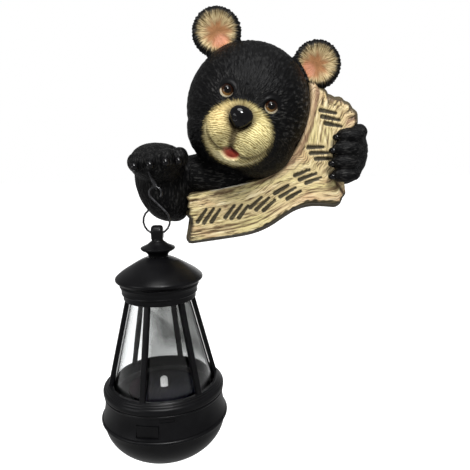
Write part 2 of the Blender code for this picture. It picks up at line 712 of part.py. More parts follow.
def solar_cell(cell, floor):
    low = floor + CLEARANCE
    hole = LED_RADIUS + CLEARANCE * 3
    profile = ring_profile([(PANEL_RADIUS, low + PANEL_THICKNESS), (PANEL_RADIUS, low)],
                           [(hole, low + PANEL_THICKNESS), (hole, low)])
    return painted(turned("solar_cell", profile, LANTERN_X, -HOOK_OUT), cell)


def led(lens, floor):
    low = floor + CLEARANCE
    dome = low + LED_HEIGHT - LED_RADIUS
    steps = 4
    angles = [math.pi / 2 * i / steps for i in range(steps + 1)]
    profile = [(LED_RADIUS * math.sin(angle), dome + LED_RADIUS * math.cos(angle)) for angle in angles]
    profile += [(LED_RADIUS, low), (0, low)]
    return painted(turned("led", profile, LANTERN_X, -HOOK_OUT, 12), lens)


def main():
    clear_scene()
    black = material("black fur paint", (0.018, 0.018, 0.019), 0.55)
    wood = material("painted board", (0.62, 0.47, 0.24), 0.6)
    gloss = material("gloss black paint", (0.008, 0.008, 0.009), 0.12)
    plastic = material("black plastic", (0.012, 0.012, 0.013), 0.35)
    glass = material("amber glass", (0.25, 0.11, 0.03), 0.05)
    steel = material("blackened wire", (0.05, 0.05, 0.05), 0.3, metallic=1.0)
    clear = material("clear plastic", (0.9, 0.92, 0.92), 0.04, transmission=1.0)
    cell = material("solar cell", (0.03, 0.02, 0.03), 0.15)
    lens = material("led lens", (0.92, 0.92, 0.88), 0.1)
    casting = bear_casting(black, wood, gloss)
    pieces = [casting, *eyes(glass)]
    pieces.append(painted(wire("paw_eye", wire_eye_path(), WIRE_RADIUS), steel))
    pieces.append(painted(wire("s_hook", hook_path(), WIRE_RADIUS), steel))
    knob, roof_top = finial(plastic)
    cap, cage_top = roof(plastic, roof_top)
    frame, collar_bottom, sill = cage(plastic, cage_top)
    housing, floor, band_bottom = base_housing(sill)
    housing, blocks = fitted_blocks(housing, plastic, floor, band_bottom)
    pieces += [knob, cap, frame, glazing(clear, collar_bottom, sill), housing, *blocks]
    pieces += [base_bowl(plastic, band_bottom), solar_cell(cell, floor), led(lens, floor)]
    statue = collection("solar garden bear")
    for piece in pieces:
        for holder in list(piece.users_collection):
            holder.objects.unlink(piece)
        statue.objects.link(piece)
        piece.data.shade_smooth()
        piece.data.set_sharp_from_angle(angle=math.radians(35))


main()
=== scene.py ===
"""The looks of a wall-hung bear cub that holds a curved board and a small solar lantern.

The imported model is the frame. Forms are worked out in millimetres in the frame's axes: X to the viewer's
right, Z up, and Y into the wall. "Out" is the distance from the wall, so it is -Y. "Across" and "up" run in
the bear's tilted face, from the head's centre.
"""

import math

import bmesh
import bpy
import numpy as np
from mathutils import Euler, Matrix, Vector


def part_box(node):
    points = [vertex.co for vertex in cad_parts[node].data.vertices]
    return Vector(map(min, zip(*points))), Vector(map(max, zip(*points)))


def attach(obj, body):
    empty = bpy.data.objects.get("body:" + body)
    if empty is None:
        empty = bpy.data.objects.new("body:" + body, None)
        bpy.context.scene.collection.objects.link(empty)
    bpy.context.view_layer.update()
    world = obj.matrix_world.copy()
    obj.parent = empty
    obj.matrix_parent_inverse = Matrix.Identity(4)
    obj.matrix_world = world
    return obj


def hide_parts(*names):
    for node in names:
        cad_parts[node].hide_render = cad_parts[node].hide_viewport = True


MM = 0.001
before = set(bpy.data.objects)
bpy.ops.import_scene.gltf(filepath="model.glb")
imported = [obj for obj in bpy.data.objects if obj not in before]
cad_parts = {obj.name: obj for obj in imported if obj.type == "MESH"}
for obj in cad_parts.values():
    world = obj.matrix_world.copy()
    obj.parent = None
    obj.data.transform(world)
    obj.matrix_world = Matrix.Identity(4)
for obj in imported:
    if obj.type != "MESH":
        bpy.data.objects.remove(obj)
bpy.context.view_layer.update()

# The bear's places and half sizes, as in the part's source: from the head's centre, in millimetres.
HEAD_X, HEAD_Z = 12.0, -15.0
TILT = math.radians(20.5)
VOXEL = 0.8
BACK_SQUARENESS, BACK_REACH = 0.3, 0.8
BODY_LUMPS = [
    ((-4, 6, -56), (44, 17, 26), -6),
    ((-26, 16, -45), (30, 19, 15), 8),
    ((-60.5, 20, -49), (19, 20, 28), -14),
    ((-53, 18, -63), (11, 14, 14), 0),
    ((-62, 34, -35), (18.5, 23, 13.5), 4),
    ((46, 12, -33), (28, 13, 15), 0),
    ((54, 13, -38), (11, 14, 21), 0),
    ((67, 22, -32), (14, 18.5, 20.5), 8),
    ((75, 24, -17), (5.5, 8, 5.5), 0),
]
HEAD_LUMPS = [
    ((-0.5, 24, 0.5), (41.5, 36, 43)),
    ((-9, 27, -18), (27.5, 28, 26)),
    ((12, 27, -18), (26.5, 28, 26)),
]
MUZZLE_LUMPS = [
    ((-1.5, 46, -19.5), (22.5, 25, 20)),
    ((-11.5, 56, -19), (11.5, 17, 12.5)),
    ((8, 56, -18.5), (12.5, 17, 13.5)),
    ((-1, 51, -29), (15, 17.5, 10)),
    ((-2.5, 55, -10), (14, 16.5, 11.5)),
    ((1, 38, -18), (31, 24, 23)),
]
EARS = [((-20.6, 23, 49.5), 17), ((45.8, 23, 27.6), 16.8)]
EYES = {"right_eye": (-16.2, 54.4, 3), "left_eye": (12.3, 55.4, 2.7)}
EYE_RADIUS = 4.7
NEAR_FINGERS = [(-72.9, 51, -34), (-62.8, 53, -33), (-53, 52, -31.5), (-45.6, 47, -31)]
FAR_FINGERS = [(66, 37, -19.5), (63.5, 38, -28), (63, 38, -36.5), (63.5, 37, -45)]

# The face, across and up. The skull's ovals say what belongs to the head.
SKULL = [((0.5, 0.5), (40.5, 43)), ((-8, -18), (26.5, 26)), ((12, -18), (26.5, 26))]
FUR_ROOT = (-3, 62, -9.4)
NOSE_CENTRE, NOSE_HALF = (-3, 71.5, -10), (6.65, 5.2, 6.65)
NOSE_GROOVE = [(-3.8, -14.5), (-3.6, -22), (-2.9, -28.4)]
SMILE = [(-21.8, -18.5), (-20.5, -22.5), (-18.4, -26.2), (-14.8, -29.6), (-9.8, -31.4), (-6.2, -30.6),
         (-2.9, -28.4), (0.6, -30.8), (4.6, -32.4), (9.8, -31.5), (15.6, -27.4), (21.1, -18.9)]
# The crease's depth at shares of its length, and below it the top of the lower lip
SMILE_DEPTH = [(0, 0.1), (0.1, 0.3), (0.2, 1), (0.5, 1), (0.7, 0.9), (0.85, 0.6), (1, 0.3)]
LIP_TOP = [(-22, -18.5), (-20.5, -23), (-18.4, -26.8), (-14.8, -30.2), (-10, -32.4), (-3, -32.6), (5, -34.6),
           (10, -33.5), (21, -24)]
# How far the cream paint reaches from the muzzle's centre, at every 30 degrees
MUZZLE_CENTRE = (-1.5, -19.2)
MUZZLE_REACH = [22.8, 22.6, 21.0, 20.2, 20.8, 22.4, 22.8, 22.6, 21.8, 21.0, 21.2, 22.4, 22.8]

# The board, in x and z from the head's centre.
BOARD_FRONT, BOARD_THICKNESS, BOARD_DRAFT = 33.0, 9.5, 2.8
BOARD_LOWER = [(-42.3, -89.6), (-18.2, -86.6), (0.3, -83.6), (12, -79), (22, -72.6), (31.5, -67.2),
               (43.2, -64.6), (58.8, -65.6)]
BOARD_RIGHT = [(60.6, -64.5), (61.2, -61.5), (63.9, -58.4), (63.6, -56.6), (59.3, -54.3), (56.4, -48),
               (55.1, -40), (55.3, -30.6), (59, -23.1), (63.1, -16.5), (69.6, -14)]
BOARD_TOP = [(71.4, -10.5), (71.1, -5.1), (68.2, -2.8), (66.1, 0.7), (63, 1.6), (61, 4.1), (57.2, 3.9),
             (54.3, 5.6), (51.6, 6.3), (50.1, 9.5), (46.2, 11.7), (43.3, 15.3)]
BOARD_INNER = [(39.2, 15.2), (39.9, 2.8), (37.6, -11.1), (31.8, -26), (23.3, -37.6), (12.6, -45.3),
               (0.8, -49), (-13.1, -51.6), (-27, -54.2), (-41.2, -57)]
BOARD_LEFT = [(-43.8, -58.8), (-42.2, -61.6), (-43.2, -65.5), (-41.7, -66.6), (-42.5, -70.4),
              (-40.4, -73.4), (-39.9, -77.1), (-41.2, -80.5), (-42.9, -88.2)]
BACKING_RIGHT = [(54, -58), (52.5, -46), (52.5, -34), (56, -22), (64, -12), (60, -3), (50, 5)]
# The dark bevel's width, at shares of the board's length
BEVEL = [(0, 0.5), (0.2, 0.9), (0.38, 2.3), (0.61, 2.3), (0.65, 0.5), (1, 0.4)]

# Each group of strokes: its place and how many degrees it leans. Each stroke: its step, rise and length.
STROKE_GROUPS = [(-28.7, -71.5, 12), (-9.6, -69, 14), (8.2, -64, 24), (25.4, -56.4, 36), (39, -46, 46),
                 (46.8, -30.5, 66), (54, -8, 78)]
STROKES = ((-4.6, -0.9, 11.5), (0, 0, 13), (4.6, 0.9, 11.5))
STROKE_SLANT = math.radians(24)
SPLITS = [((51.8, 5.5), (53.2, -2), 1.4), ((60.2, 4.5), (61, -1.5), 1.3), ((66.4, 1), (67.6, -4.5), 1.2),
          ((71.2, -6), (69.8, -15), 1.5), ((56, -45), (63.6, -58.6), 2.6)]

# The lantern
AXIS_X, AXIS_OUT = -49.5, 52.0
COLLAR_HEIGHT, SILL_HEIGHT = 10.4, 6.0
POST_COUNT, FIRST_POST = 6, math.radians(46)


# Arrays

def smooth(low, high, value):
    """0 below low, 1 above high, and an even curve between."""
    t = np.clip((value - low) / (high - low), 0, 1)
    return t * t * (3 - 2 * t)


def bell(distance, width):
    """1 at no distance, falling evenly to both sides."""
    return np.exp(-((distance / width) ** 2))


def curve(value, pairs):
    """What the joined pairs give for a value."""
    return np.interp(value, *zip(*pairs))


def mix(a, b, share):
    """Colours a and b mixed, one share for each point."""
    share = np.ravel(share)[:, None]
    return np.asarray(a) * (1 - share) + np.asarray(b) * share


def painted(base, coats):
    """A colour with coats over it, each a colour and its share."""
    for colour, share in coats:
        base = mix(base, colour, share)
    return base


def unit(vectors):
    """The vectors with a length of 1."""
    return vectors / np.maximum(np.linalg.norm(vectors, axis=1), 1e-9)[:, None]


def head_point(x, out, z):
    """A place in the frame's axes, from its distances to the head's centre and the wall."""
    return np.array((HEAD_X + x, -out, HEAD_Z + z), float)


def face_point(across, out, up):
    """A place in the frame's axes, from its place in the tilted face."""
    return head_point(across * math.cos(TILT) + up * math.sin(TILT), out,
                      up * math.cos(TILT) - across * math.sin(TILT))


def in_face(x, z):
    """Places from the head's centre as across and up in the tilted face."""
    return x * math.cos(TILT) - z * math.sin(TILT), x * math.sin(TILT) + z * math.cos(TILT)


def turned_in_wall(points, angle):
    """Points turned in the plane of the wall."""
    x, y, z = points.T
    cos, sin = math.cos(angle), math.sin(angle)
    return np.stack((x * cos + z * sin, y, z * cos - x * sin), 1)


def line_distance(px, pz, line):
    """Distance of points from a line of joined points, and the share of its length nearest to each."""
    line = np.asarray(line, float)
    best = np.full(len(px), 1e9)
    share = np.zeros(len(px))
    lengths = np.hypot(*np.diff(line, axis=0).T)
    total, done = lengths.sum(), 0.0
    for (ax, az), (bx, bz), length in zip(line[:-1], line[1:], lengths):
        t = np.clip(((px - ax) * (bx - ax) + (pz - az) * (bz - az)) / length**2, 0, 1)
        d = np.hypot(px - ax - t * (bx - ax), pz - az - t * (bz - az))
        near = d < best
        best[near] = d[near]
        share[near] = (done + t[near] * length) / total
        done += length
    return best, share


def smooth_line(points, steps=3):
    """A curve through the points, with so many steps between each two."""
    ends = [points[0], *points, points[-1]]
    line = []
    for before, start, end, after in zip(ends, ends[1:], ends[2:], ends[3:]):
        for i in range(steps):
            t = i / steps
            line.append(tuple(
                b + ((c - a) * t + (2 * a - 5 * b + 4 * c - d) * t**2 + (3 * b - a - 3 * c + d) * t**3) / 2
                for a, b, c, d in zip(before, start, end, after)))
    return [*line, points[-1]]


def by_length(line, count):
    """Points at even steps along a line, and its length."""
    line = np.asarray(line, float)
    done = np.concatenate(([0], np.cumsum(np.hypot(*np.diff(line, axis=0).T))))
    at = np.linspace(0, done[-1], count)
    return np.stack((np.interp(at, done, line[:, 0]), np.interp(at, done, line[:, 1])), 1), done[-1]


def widened(outline, distance):
    """A closed outline with each point moved outwards."""
    outline = np.asarray(outline, float)
    along = np.roll(outline, -1, 0) - np.roll(outline, 1, 0)
    along /= np.hypot(*along.T)[:, None]
    return outline + np.stack((along[:, 1], -along[:, 0]), 1) * distance


def ripple(s, t, seed):
    """Smooth noise over a grid, from a few waves."""
    random = np.random.default_rng(seed)
    total = np.zeros(np.broadcast(s, t).shape)
    for _ in range(7):
        a, b, c = random.normal(size=3)
        total = total + np.sin(s * a * 2 + t * b * 2 + c * 6)
    return total / 2.6


# Meshes. A shell is a pair: points in millimetres, and faces as tuples of point numbers.

def ball(segments=48, rings=24):
    """A unit ball."""
    points = [(0, 0, 1)]
    for r in range(1, rings):
        a = math.pi * r / rings
        for s in range(segments):
            b = math.tau * s / segments
            points.append((math.sin(a) * math.cos(b), math.sin(a) * math.sin(b), math.cos(a)))
    points.append((0, 0, -1))
    last = len(points) - 1
    faces = [(0, 1 + s, 1 + (s + 1) % segments) for s in range(segments)]
    for r in range(rings - 2):
        a, b = 1 + r * segments, 1 + (r + 1) * segments
        for s in range(segments):
            t = (s + 1) % segments
            faces.append((a + s, b + s, b + t, a + t))
    a = 1 + (rings - 2) * segments
    faces += [(a + s, last, a + (s + 1) % segments) for s in range(segments)]
    return np.array(points, float), faces


def prism(outline, near, far):
    """A closed prism from an outline in x and z, between two distances out from the wall."""
    count = len(outline)
    points = [(x, -near, z) for x, z in outline] + [(x, -far, z) for x, z in outline]
    faces = [tuple(range(count)), tuple(range(2 * count - 1, count - 1, -1))]
    faces += [((i + 1) % count, i, count + i, count + (i + 1) % count) for i in range(count)]
    return np.array(points, float), faces


def add_object(name, data):
    """A new object in the scene."""
    made = bpy.data.objects.new(name, data)
    bpy.context.scene.collection.objects.link(made)
    return made


def shell_object(name, shells):
    """An object made of closed shells."""
    points, faces, count = [], [], 0
    for own_points, own_faces in shells:
        points.append(own_points)
        faces += [tuple(int(i) + count for i in face) for face in own_faces]
        count += len(own_points)
    mesh = bpy.data.meshes.new(name)
    mesh.from_pydata((np.concatenate(points) * MM).tolist(), [], faces)
    mesh.update()
    return add_object(name, mesh)


def outward(made):
    """The object with its faces turned outwards."""
    work = bmesh.new()
    work.from_mesh(made.data)
    bmesh.ops.recalc_face_normals(work, faces=work.faces)
    work.to_mesh(made.data)
    work.free()
    return made


def baked(made):
    """The object with its modifiers applied."""
    bpy.context.view_layer.update()
    mesh = bpy.data.meshes.new_from_object(made.evaluated_get(bpy.context.evaluated_depsgraph_get()))
    name = made.name
    bpy.data.objects.remove(made)
    return add_object(name, mesh)


def cut(target, cutter):
    """The target with the cutter's form taken away. The cutter goes too."""
    step = target.modifiers.new("cut", "BOOLEAN")
    step.operation = "DIFFERENCE"
    step.object = cutter
    made = baked(target)
    bpy.data.objects.remove(cutter)
    return made


def read_all(items, name, width, kind=np.float32):
    """One value of every item, as an array."""
    flat = np.zeros(len(items) * width, kind)
    items.foreach_get(name, flat)
    return flat.reshape(-1, width) if width > 1 else flat


def set_values(mesh, name, values):
    """One number or one vector for each point of the mesh."""
    kind, key = {1: ("FLOAT", "value"), 2: ("FLOAT_VECTOR", "vector")}[values.ndim]
    attribute = mesh.attributes.new(name, kind, "POINT")
    attribute.data.foreach_set(key, values.astype(np.float32).ravel())


def set_colours(mesh, name, colours):
    """One colour for each point of the mesh."""
    attribute = mesh.attributes.new(name, "FLOAT_COLOR", "POINT")
    full = np.concatenate((np.clip(colours, 0, 1), np.ones((len(colours), 1))), 1)
    attribute.data.foreach_set("color", full.astype(np.float32).ravel())


def dress(made, material, node, sharp=40):
    """Give a piece its material and its node's place. Edges over so many degrees stay sharp."""
    made.data.materials.clear()
    made.data.materials.append(material)
    made.data.shade_smooth()
    if sharp is not None:
        made.data.set_sharp_from_angle(angle=math.radians(sharp))
    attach(made, "root")
    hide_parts(node)


# Materials

class Tree:
    """A node tree, with short ways to add nodes. Each of them returns the new node's output."""

    def __init__(self, tree):
        self.tree = tree

    def add(self, kind, inputs=None, out=0, **settings):
        """A node's output, or all its outputs where out is None."""
        node = self.tree.nodes.new("ShaderNode" + kind)
        for key, value in settings.items():
            setattr(node, key, value)
        for key, value in (inputs or {}).items():
            if hasattr(value, "links"):
                self.tree.links.new(value, node.inputs[key])
            else:
                node.inputs[key].default_value = value
        return node.outputs if out is None else node.outputs[out]

    def noise(self, vector, scale, detail=3.0, roughness=0.55):
        inputs = {"Vector": vector, "Scale": scale, "Detail": detail, "Roughness": roughness}
        return self.add("TexNoise", inputs, "Fac")

    def stretch(self, vector, scale, location=(0, 0, 0)):
        return self.add("Mapping", {"Vector": vector, "Location": location, "Scale": scale})

    def math(self, kind, a, b, clamp=False):
        return self.add("Math", {0: a, 1: b}, operation=kind, use_clamp=clamp)

    def span(self, value, start, end, low=0.0, high=1.0, kind="LINEAR"):
        """A value moved from one range to another, and kept inside it."""
        inputs = {"Value": value, "From Min": start, "From Max": end, "To Min": low, "To Max": high}
        return self.add("MapRange", inputs, interpolation_type=kind)

    def spread(self, value, low, high):
        return self.span(value, 0.0, 1.0, low, high)

    def tint(self, colour, other, share, kind="MIX"):
        return self.add("MixRGB", {"Fac": share, "Color1": colour, "Color2": other}, blend_type=kind)

    def ramp(self, value, stops):
        node = self.tree.nodes.new("ShaderNodeValToRGB")
        self.tree.links.new(value, node.inputs["Fac"])
        node.color_ramp.elements.remove(node.color_ramp.elements[1])
        for i, (place, colour) in enumerate(stops):
            stop = node.color_ramp.elements[0] if i == 0 else node.color_ramp.elements.new(place)
            stop.position = place
            stop.color = (*colour, 1)
        return node.outputs["Color"]

    def bump(self, height, distance, strength=1.0, after=None):
        inputs = {"Height": height, "Distance": distance, "Strength": strength}
        if after is not None:
            inputs["Normal"] = after
        return self.add("Bump", inputs)

    def plain_sight(self):
        """1 for rays straight from the camera or through clear plastic, and 0 for all other light."""
        path = self.add("LightPath", out=None)
        seen = self.math("MAXIMUM", path["Is Camera Ray"], path["Is Transmission Ray"])
        turns = self.math("ADD", path["Diffuse Depth"], path["Glossy Depth"])
        return self.math("SUBTRACT", seen, turns, clamp=True)


class Material(Tree):
    """A material with plain values on its shader. The keywords are socket names with _ for a space."""

    def __init__(self, name, **plain):
        self.material = bpy.data.materials.new(name)
        self.material.use_nodes = True
        super().__init__(self.material.node_tree)
        self.shader = self.tree.nodes["Principled BSDF"]
        for socket, value in plain.items():
            self.shader.inputs[socket.replace("_", " ")].default_value = value
        self.where = self.add("TexCoord", out="Object")

    def value(self, name, out="Fac"):
        """What the mesh says at each point."""
        return self.add("Attribute", out=out, attribute_name=name)

    def done(self, **outputs):
        """The material, with outputs linked to the shader's sockets."""
        for socket, output in outputs.items():
            self.tree.links.new(output, self.shader.inputs[socket.replace("_", " ")])
        return self.material


def painted_resin():
    """Hand-painted resin with carved fur. The points say which colours go where and how the fur lies."""
    m = Material("painted_resin", Specular_IOR_Level=0.11)
    gloss, fringe, fur, frost, muzzle = map(m.value, ("gloss", "fringe", "fur", "frost", "muzzle"))
    lie = m.value("lie", "Vector")
    fine = m.noise(m.where, 1900, 3)

    # Strands: combed noise, and short bands on the muzzle
    combed = m.noise(lie, 0.95, 2.5, 0.5)
    waves = {"Vector": lie, "Scale": 0.25, "Distortion": 9.0, "Detail": 2.0, "Detail Scale": 1.1,
             "Detail Roughness": 0.6}
    bands = m.add("TexWave", waves, "Fac", wave_type="BANDS", bands_direction="Y")
    banded = m.math("ADD", m.spread(bands, 0.38, 0.62), m.spread(combed, -0.22, 0.22))
    strand = m.tint(combed, banded, muzzle)

    groove = m.ramp(strand, [(0.38, (0.42, 0.36, 0.24)), (0.50, (0.92, 0.90, 0.84)),
                             (0.64, (1.08, 1.08, 1.06))])
    worn = m.ramp(m.noise(m.where, 260, 4), [(0.3, (0.86, 0.85, 0.82)), (0.7, (1.08, 1.08, 1.06))])
    light = m.tint(m.value("paint", "Color"), groove, fur, "MULTIPLY")
    light = m.tint(light, worn, 1.0, "MULTIPLY")
    dark = m.ramp(strand, [(0.42, (0.001, 0.001, 0.0012)), (0.56, (0.003, 0.003, 0.0033)),
                           (0.68, (0.012, 0.012, 0.012))])
    dark = m.tint(dark, (0.15, 0.145, 0.135, 1), m.math("MULTIPLY", m.span(strand, 0.55, 0.63), frost))
    dark = m.tint((0.003, 0.003, 0.0034, 1), dark, fur)

    # The light paint ends in ragged tips
    longer = m.noise(m.stretch(lie, (1.2, 1.2, 0.6), (40, 7, 3)), 1.0, 1.0)
    ragged = m.math("ADD", m.spread(longer, -2.4, 2.4), fringe)
    relief = m.bump(m.math("MULTIPLY", strand, fur), 0.0012, 0.8)
    return m.done(Base_Color=m.tint(dark, light, m.span(ragged, -1.9, 1.9, kind="SMOOTHSTEP")),
                  Roughness=m.math("ADD", gloss, m.spread(fine, -0.05, 0.07), clamp=True),
                  Normal=m.bump(fine, 0.00006, 0.4, relief))


def painted_wood():
    """The board's carved grain in paint, with thin dark lines that run along it."""
    m = Material("painted_wood", Specular_IOR_Level=0.35)
    grain = m.noise(m.stretch(m.add("UVMap", uv_map="grain"), (0.14, 2.0, 1.0)), 60, 6, 0.65)
    lines = m.ramp(grain, [(0.38, (0.14, 0.10, 0.06)), (0.43, (0.58, 0.50, 0.38)), (0.47, (1.04, 1.03, 0.97)),
                           (0.7, (1.16, 1.14, 1.06))])
    return m.done(Base_Color=m.tint(m.value("paint", "Color"), lines, 0.9, "MULTIPLY"),
                  Roughness=m.math("ADD", m.value("gloss"), m.spread(grain, -0.08, 0.08), clamp=True),
                  Normal=m.bump(grain, 0.0005, 0.5))


def gloss_paint():
    """Thick gloss black, with the faint unevenness of brushed varnish."""
    m = Material("gloss_black_paint", Coat_Weight=0.2, Coat_Roughness=0.05, Coat_IOR=1.9,
                 Specular_IOR_Level=0.05)
    cloud = m.noise(m.where, 300, 3)
    return m.done(Base_Color=m.ramp(cloud, [(0.3, (0.0015, 0.0015, 0.002)), (0.75, (0.004, 0.0035, 0.004))]),
                  Roughness=m.spread(cloud, 0.10, 0.22), Normal=m.bump(m.noise(m.where, 420, 2), 0.0002, 0.5))


def eye_glass():
    """A glass eye seen through its dome: pupil, amber iris that is lighter below, and a pale lower rim. The
    lighter lower iris and the pale rim are painted light, gathered by the dome from above.
    """
    m = Material("eye_glass", Coat_Weight=0.35, Coat_Roughness=0.02, Coat_IOR=1.6, Roughness=0.5,
                 Specular_IOR_Level=0.0)
    turned = m.add("VectorRotate", {"Vector": m.where, "Axis": (0, 1, 0), "Angle": -TILT},
                   rotation_type="AXIS_ANGLE")
    radii = m.stretch(turned, (213, 213, 213))
    flat = m.add("VectorMath", {0: radii, 1: (1, 0, 1)}, operation="MULTIPLY")
    from_middle = m.add("VectorMath", {0: flat, 1: (0.0, 0, 0.14)}, "Value", operation="DISTANCE")
    from_pupil = m.add("VectorMath", {0: flat, 1: (0.02, 0, 0.14)}, "Value", operation="DISTANCE")
    down = m.span(m.add("SeparateXYZ", {"Vector": radii}, "Z"), 0.35, -0.75)
    fibres = m.ramp(m.noise(m.stretch(flat, (3, 1, 3)), 3.0, 3),
                    [(0.3, (0.45, 0.4, 0.35)), (0.7, (1.2, 1.15, 1.1))])
    # Painted light: the iris and the rim grow lighter towards the bottom, where the glass dome gathers the
    # light from above
    iris = m.ramp(down, [(0.0, (0.012, 0.004, 0.002)), (0.4, (0.045, 0.019, 0.007)),
                         (1.0, (0.34, 0.19, 0.055))])
    pale = m.ramp(down, [(0.0, (0.006, 0.004, 0.004)), (0.22, (0.05, 0.035, 0.025)),
                         (0.45, (0.62, 0.50, 0.36)), (1.0, (0.92, 0.86, 0.68))])
    colour = m.tint(m.tint(iris, fibres, 0.6, "MULTIPLY"), pale, m.span(from_middle, 0.75, 0.81))
    return m.done(Base_Color=m.tint(colour, (0.003, 0.002, 0.002, 1), m.span(from_pupil, 0.52, 0.45)))


def wire_steel():
    """Blackened wire, worn bright in places."""
    m = Material("dark_wire", Metallic=0.5)
    worn = m.noise(m.where, 420, 4)
    colour = m.ramp(worn, [(0.35, (0.010, 0.010, 0.011)), (0.6, (0.035, 0.035, 0.038)),
                           (0.85, (0.12, 0.12, 0.125))])
    return m.done(Base_Color=colour, Roughness=m.spread(worn, 0.42, 0.24), Normal=m.bump(worn, 0.00008, 0.4))


def moulded_plastic(name="moulded_plastic", shade=1.0, rough=0.30):
    """Satin black plastic with a fine moulded grain and slight handling marks."""
    m = Material(name, Specular_IOR_Level=0.14)
    cloud = m.noise(m.where, 70, 5)
    colours = (0.0022, 0.0022, 0.0026), (0.0055, 0.0055, 0.0062)
    deep, pale = [tuple(c * shade for c in colour) for colour in colours]
    return m.done(Base_Color=m.ramp(cloud, [(0.3, deep), (0.8, pale)]),
                  Roughness=m.spread(cloud, rough - 0.06, rough + 0.08),
                  Normal=m.bump(m.noise(m.where, 3200, 2), 0.00006, 0.45))


def clear_plastic():
    """Clear moulded plastic with a painted grey reflection on its middle and right panes. It is see-through
    by plain values.
    """
    m = Material("clear_plastic", Transmission_Weight=1.0, IOR=1.46, Roughness=0.02)
    parts = m.add("SeparateXYZ", {"Vector": m.where}, None)
    # Painted reflection: a grey tint over the upper part of the middle and right panes
    painted_shade_and_reflection = m.math("MULTIPLY", m.span(parts["X"], -0.063, -0.052), m.span(parts["Z"], -0.190, -0.176))
    reflection_patches = m.noise(m.stretch(m.where, (60, 60, 34)), 1.0, 3)
    painted_shade_and_reflection = m.math("MULTIPLY", painted_shade_and_reflection, m.spread(reflection_patches, 0.65, 1.25), clamp=True)
    return m.done(Base_Color=m.tint((0.97, 0.98, 0.98, 1), (0.24, 0.245, 0.24, 1), painted_shade_and_reflection),
                  Normal=m.bump(m.noise(m.where, 45, 2), 0.0004, 0.25))


def cell_glass():
    """A dark solar cell with thin contact lines, reddish on one side and bluish on the other."""
    m = Material("solar_cell", Coat_Weight=0.05, Coat_Roughness=0.05, Roughness=0.5, Specular_IOR_Level=0.02)
    fingers = m.add("TexWave", {"Vector": m.where, "Scale": 110.0, "Distortion": 0.0}, "Fac",
                    wave_type="BANDS", bands_direction="X")
    lines = m.ramp(fingers, [(0.0, (0.006, 0.004, 0.008)), (0.95, (0.008, 0.005, 0.011)),
                             (0.985, (0.05, 0.05, 0.055))])
    across = m.span(m.add("SeparateXYZ", {"Vector": m.where}, "X"), -0.085, -0.035)
    tinge = m.ramp(across, [(0.0, (0.045, 0.006, 0.012)), (0.45, (0.006, 0.004, 0.008)),
                            (1.0, (0.004, 0.007, 0.022))])
    return m.done(Base_Color=m.tint(lines, tinge, m.spread(m.noise(m.where, 180, 3), 0.4, 0.8)))


def led_lens():
    """A white lens that glows faintly."""
    m = Material("led_lens", Coat_Weight=0.7, Coat_Roughness=0.05, Roughness=0.3, Emission_Color=(1, 1, 1, 1),
                 Emission_Strength=0.6)
    cloud = m.noise(m.where, 900, 2)
    return m.done(Base_Color=m.ramp(cloud, [(0.35, (0.62, 0.62, 0.58)), (0.6, (0.92, 0.92, 0.90))]),
                  Normal=m.bump(cloud, 0.0003, 0.5))


# The bear

def lump(place, half, angle=0.0, squared=False):
    """A stretched ball, turned in the plane of the wall. A squared one's boxy back reaches the wall."""
    points, faces = ball()
    if squared:
        behind = points[:, 1] > 0
        spread = np.maximum(np.hypot(points[:, 0], points[:, 2]), 1e-6) ** (BACK_SQUARENESS - 1)
        points[behind, 0] *= spread[behind]
        points[behind, 2] *= spread[behind]
        points[behind, 1] *= -place[1] / (BACK_REACH * half[1])
    return turned_in_wall(points * np.array(half), angle) + place, faces


def arc(centre, radius, start, end, steps):
    """Points on part of a circle."""
    angles = np.linspace(start, end, steps + 1)
    return [(centre[0] + radius * math.cos(a), centre[1] + radius * math.sin(a)) for a in angles]


def keyhole():
    """Two cutters: the screw's way in with the slot above it, and the space behind them."""
    top, entry = (0, -9.2), (0, -20.2)
    shank, screw_head = 2.2, 5.0
    corner = math.asin(shank / screw_head)
    outline = arc(top, shank, 0, math.pi, 12)
    outline += arc(entry, screw_head, math.pi / 2 + corner, 2.5 * math.pi - corner, 32)
    chamber = arc(top, screw_head, 0, math.pi, 20) + arc(entry, screw_head, math.pi, math.tau, 20)
    return [outward(shell_object("keyhole", [prism(outline, -1.5, 3.3)])),
            outward(shell_object("keyhole_chamber", [prism(chamber, 3.0, 9.0)]))]


def body_object():
    """The bear without its board, claws and nose: lumps melted together, cut flat at the wall."""
    shells = [lump(head_point(*centre), half, math.radians(tilt), True) for centre, half, tilt in BODY_LUMPS]
    shells += [lump(face_point(*centre), half, TILT, True) for centre, half in HEAD_LUMPS]
    shells += [lump(face_point(*centre), half, TILT) for centre, half in MUZZLE_LUMPS]
    for (x, out, z), radius in EARS:
        shells.append(lump(head_point(x, out, z), (radius, 7, radius)))
        shells.append(lump(head_point(x * 0.74, out, z * 0.74), (12, 8, 12)))
    shells += [lump(head_point(*centre), (5.8, 8, 6.5)) for centre in NEAR_FINGERS]
    shells += [lump(head_point(*centre), (10, 6.5, 5.2)) for centre in FAR_FINGERS]
    lower, inner = smooth_line(BOARD_LOWER), smooth_line(BOARD_INNER)
    short = widened(lower + inner, -5.0)[:len(lower) - 1]
    past = widened(lower + inner, 5.0)[len(lower):]
    backing = np.concatenate((short, BACKING_RIGHT, past)) + (HEAD_X, HEAD_Z)
    shells.append(prism(backing, -5.2, BOARD_FRONT - BOARD_THICKNESS + 2.6))
    body = shell_object("bear_skin", shells)
    melt = body.modifiers.new("melt", "REMESH")
    melt.mode = "VOXEL"
    melt.voxel_size = VOXEL * MM
    body.modifiers.new("soften", "SMOOTH").iterations = 16
    body = baked(body)
    work = bmesh.new()
    work.from_mesh(body.data)
    everything = work.verts[:] + work.edges[:] + work.faces[:]
    bmesh.ops.bisect_plane(work, geom=everything, plane_co=(0, 0, 0), plane_no=(0, 1, 0), clear_outer=True)
    bmesh.ops.holes_fill(work, edges=[edge for edge in work.edges if edge.is_boundary], sides=0)
    work.to_mesh(body.data)
    work.free()
    for cutter in keyhole():
        body = cut(body, cutter)
    return body


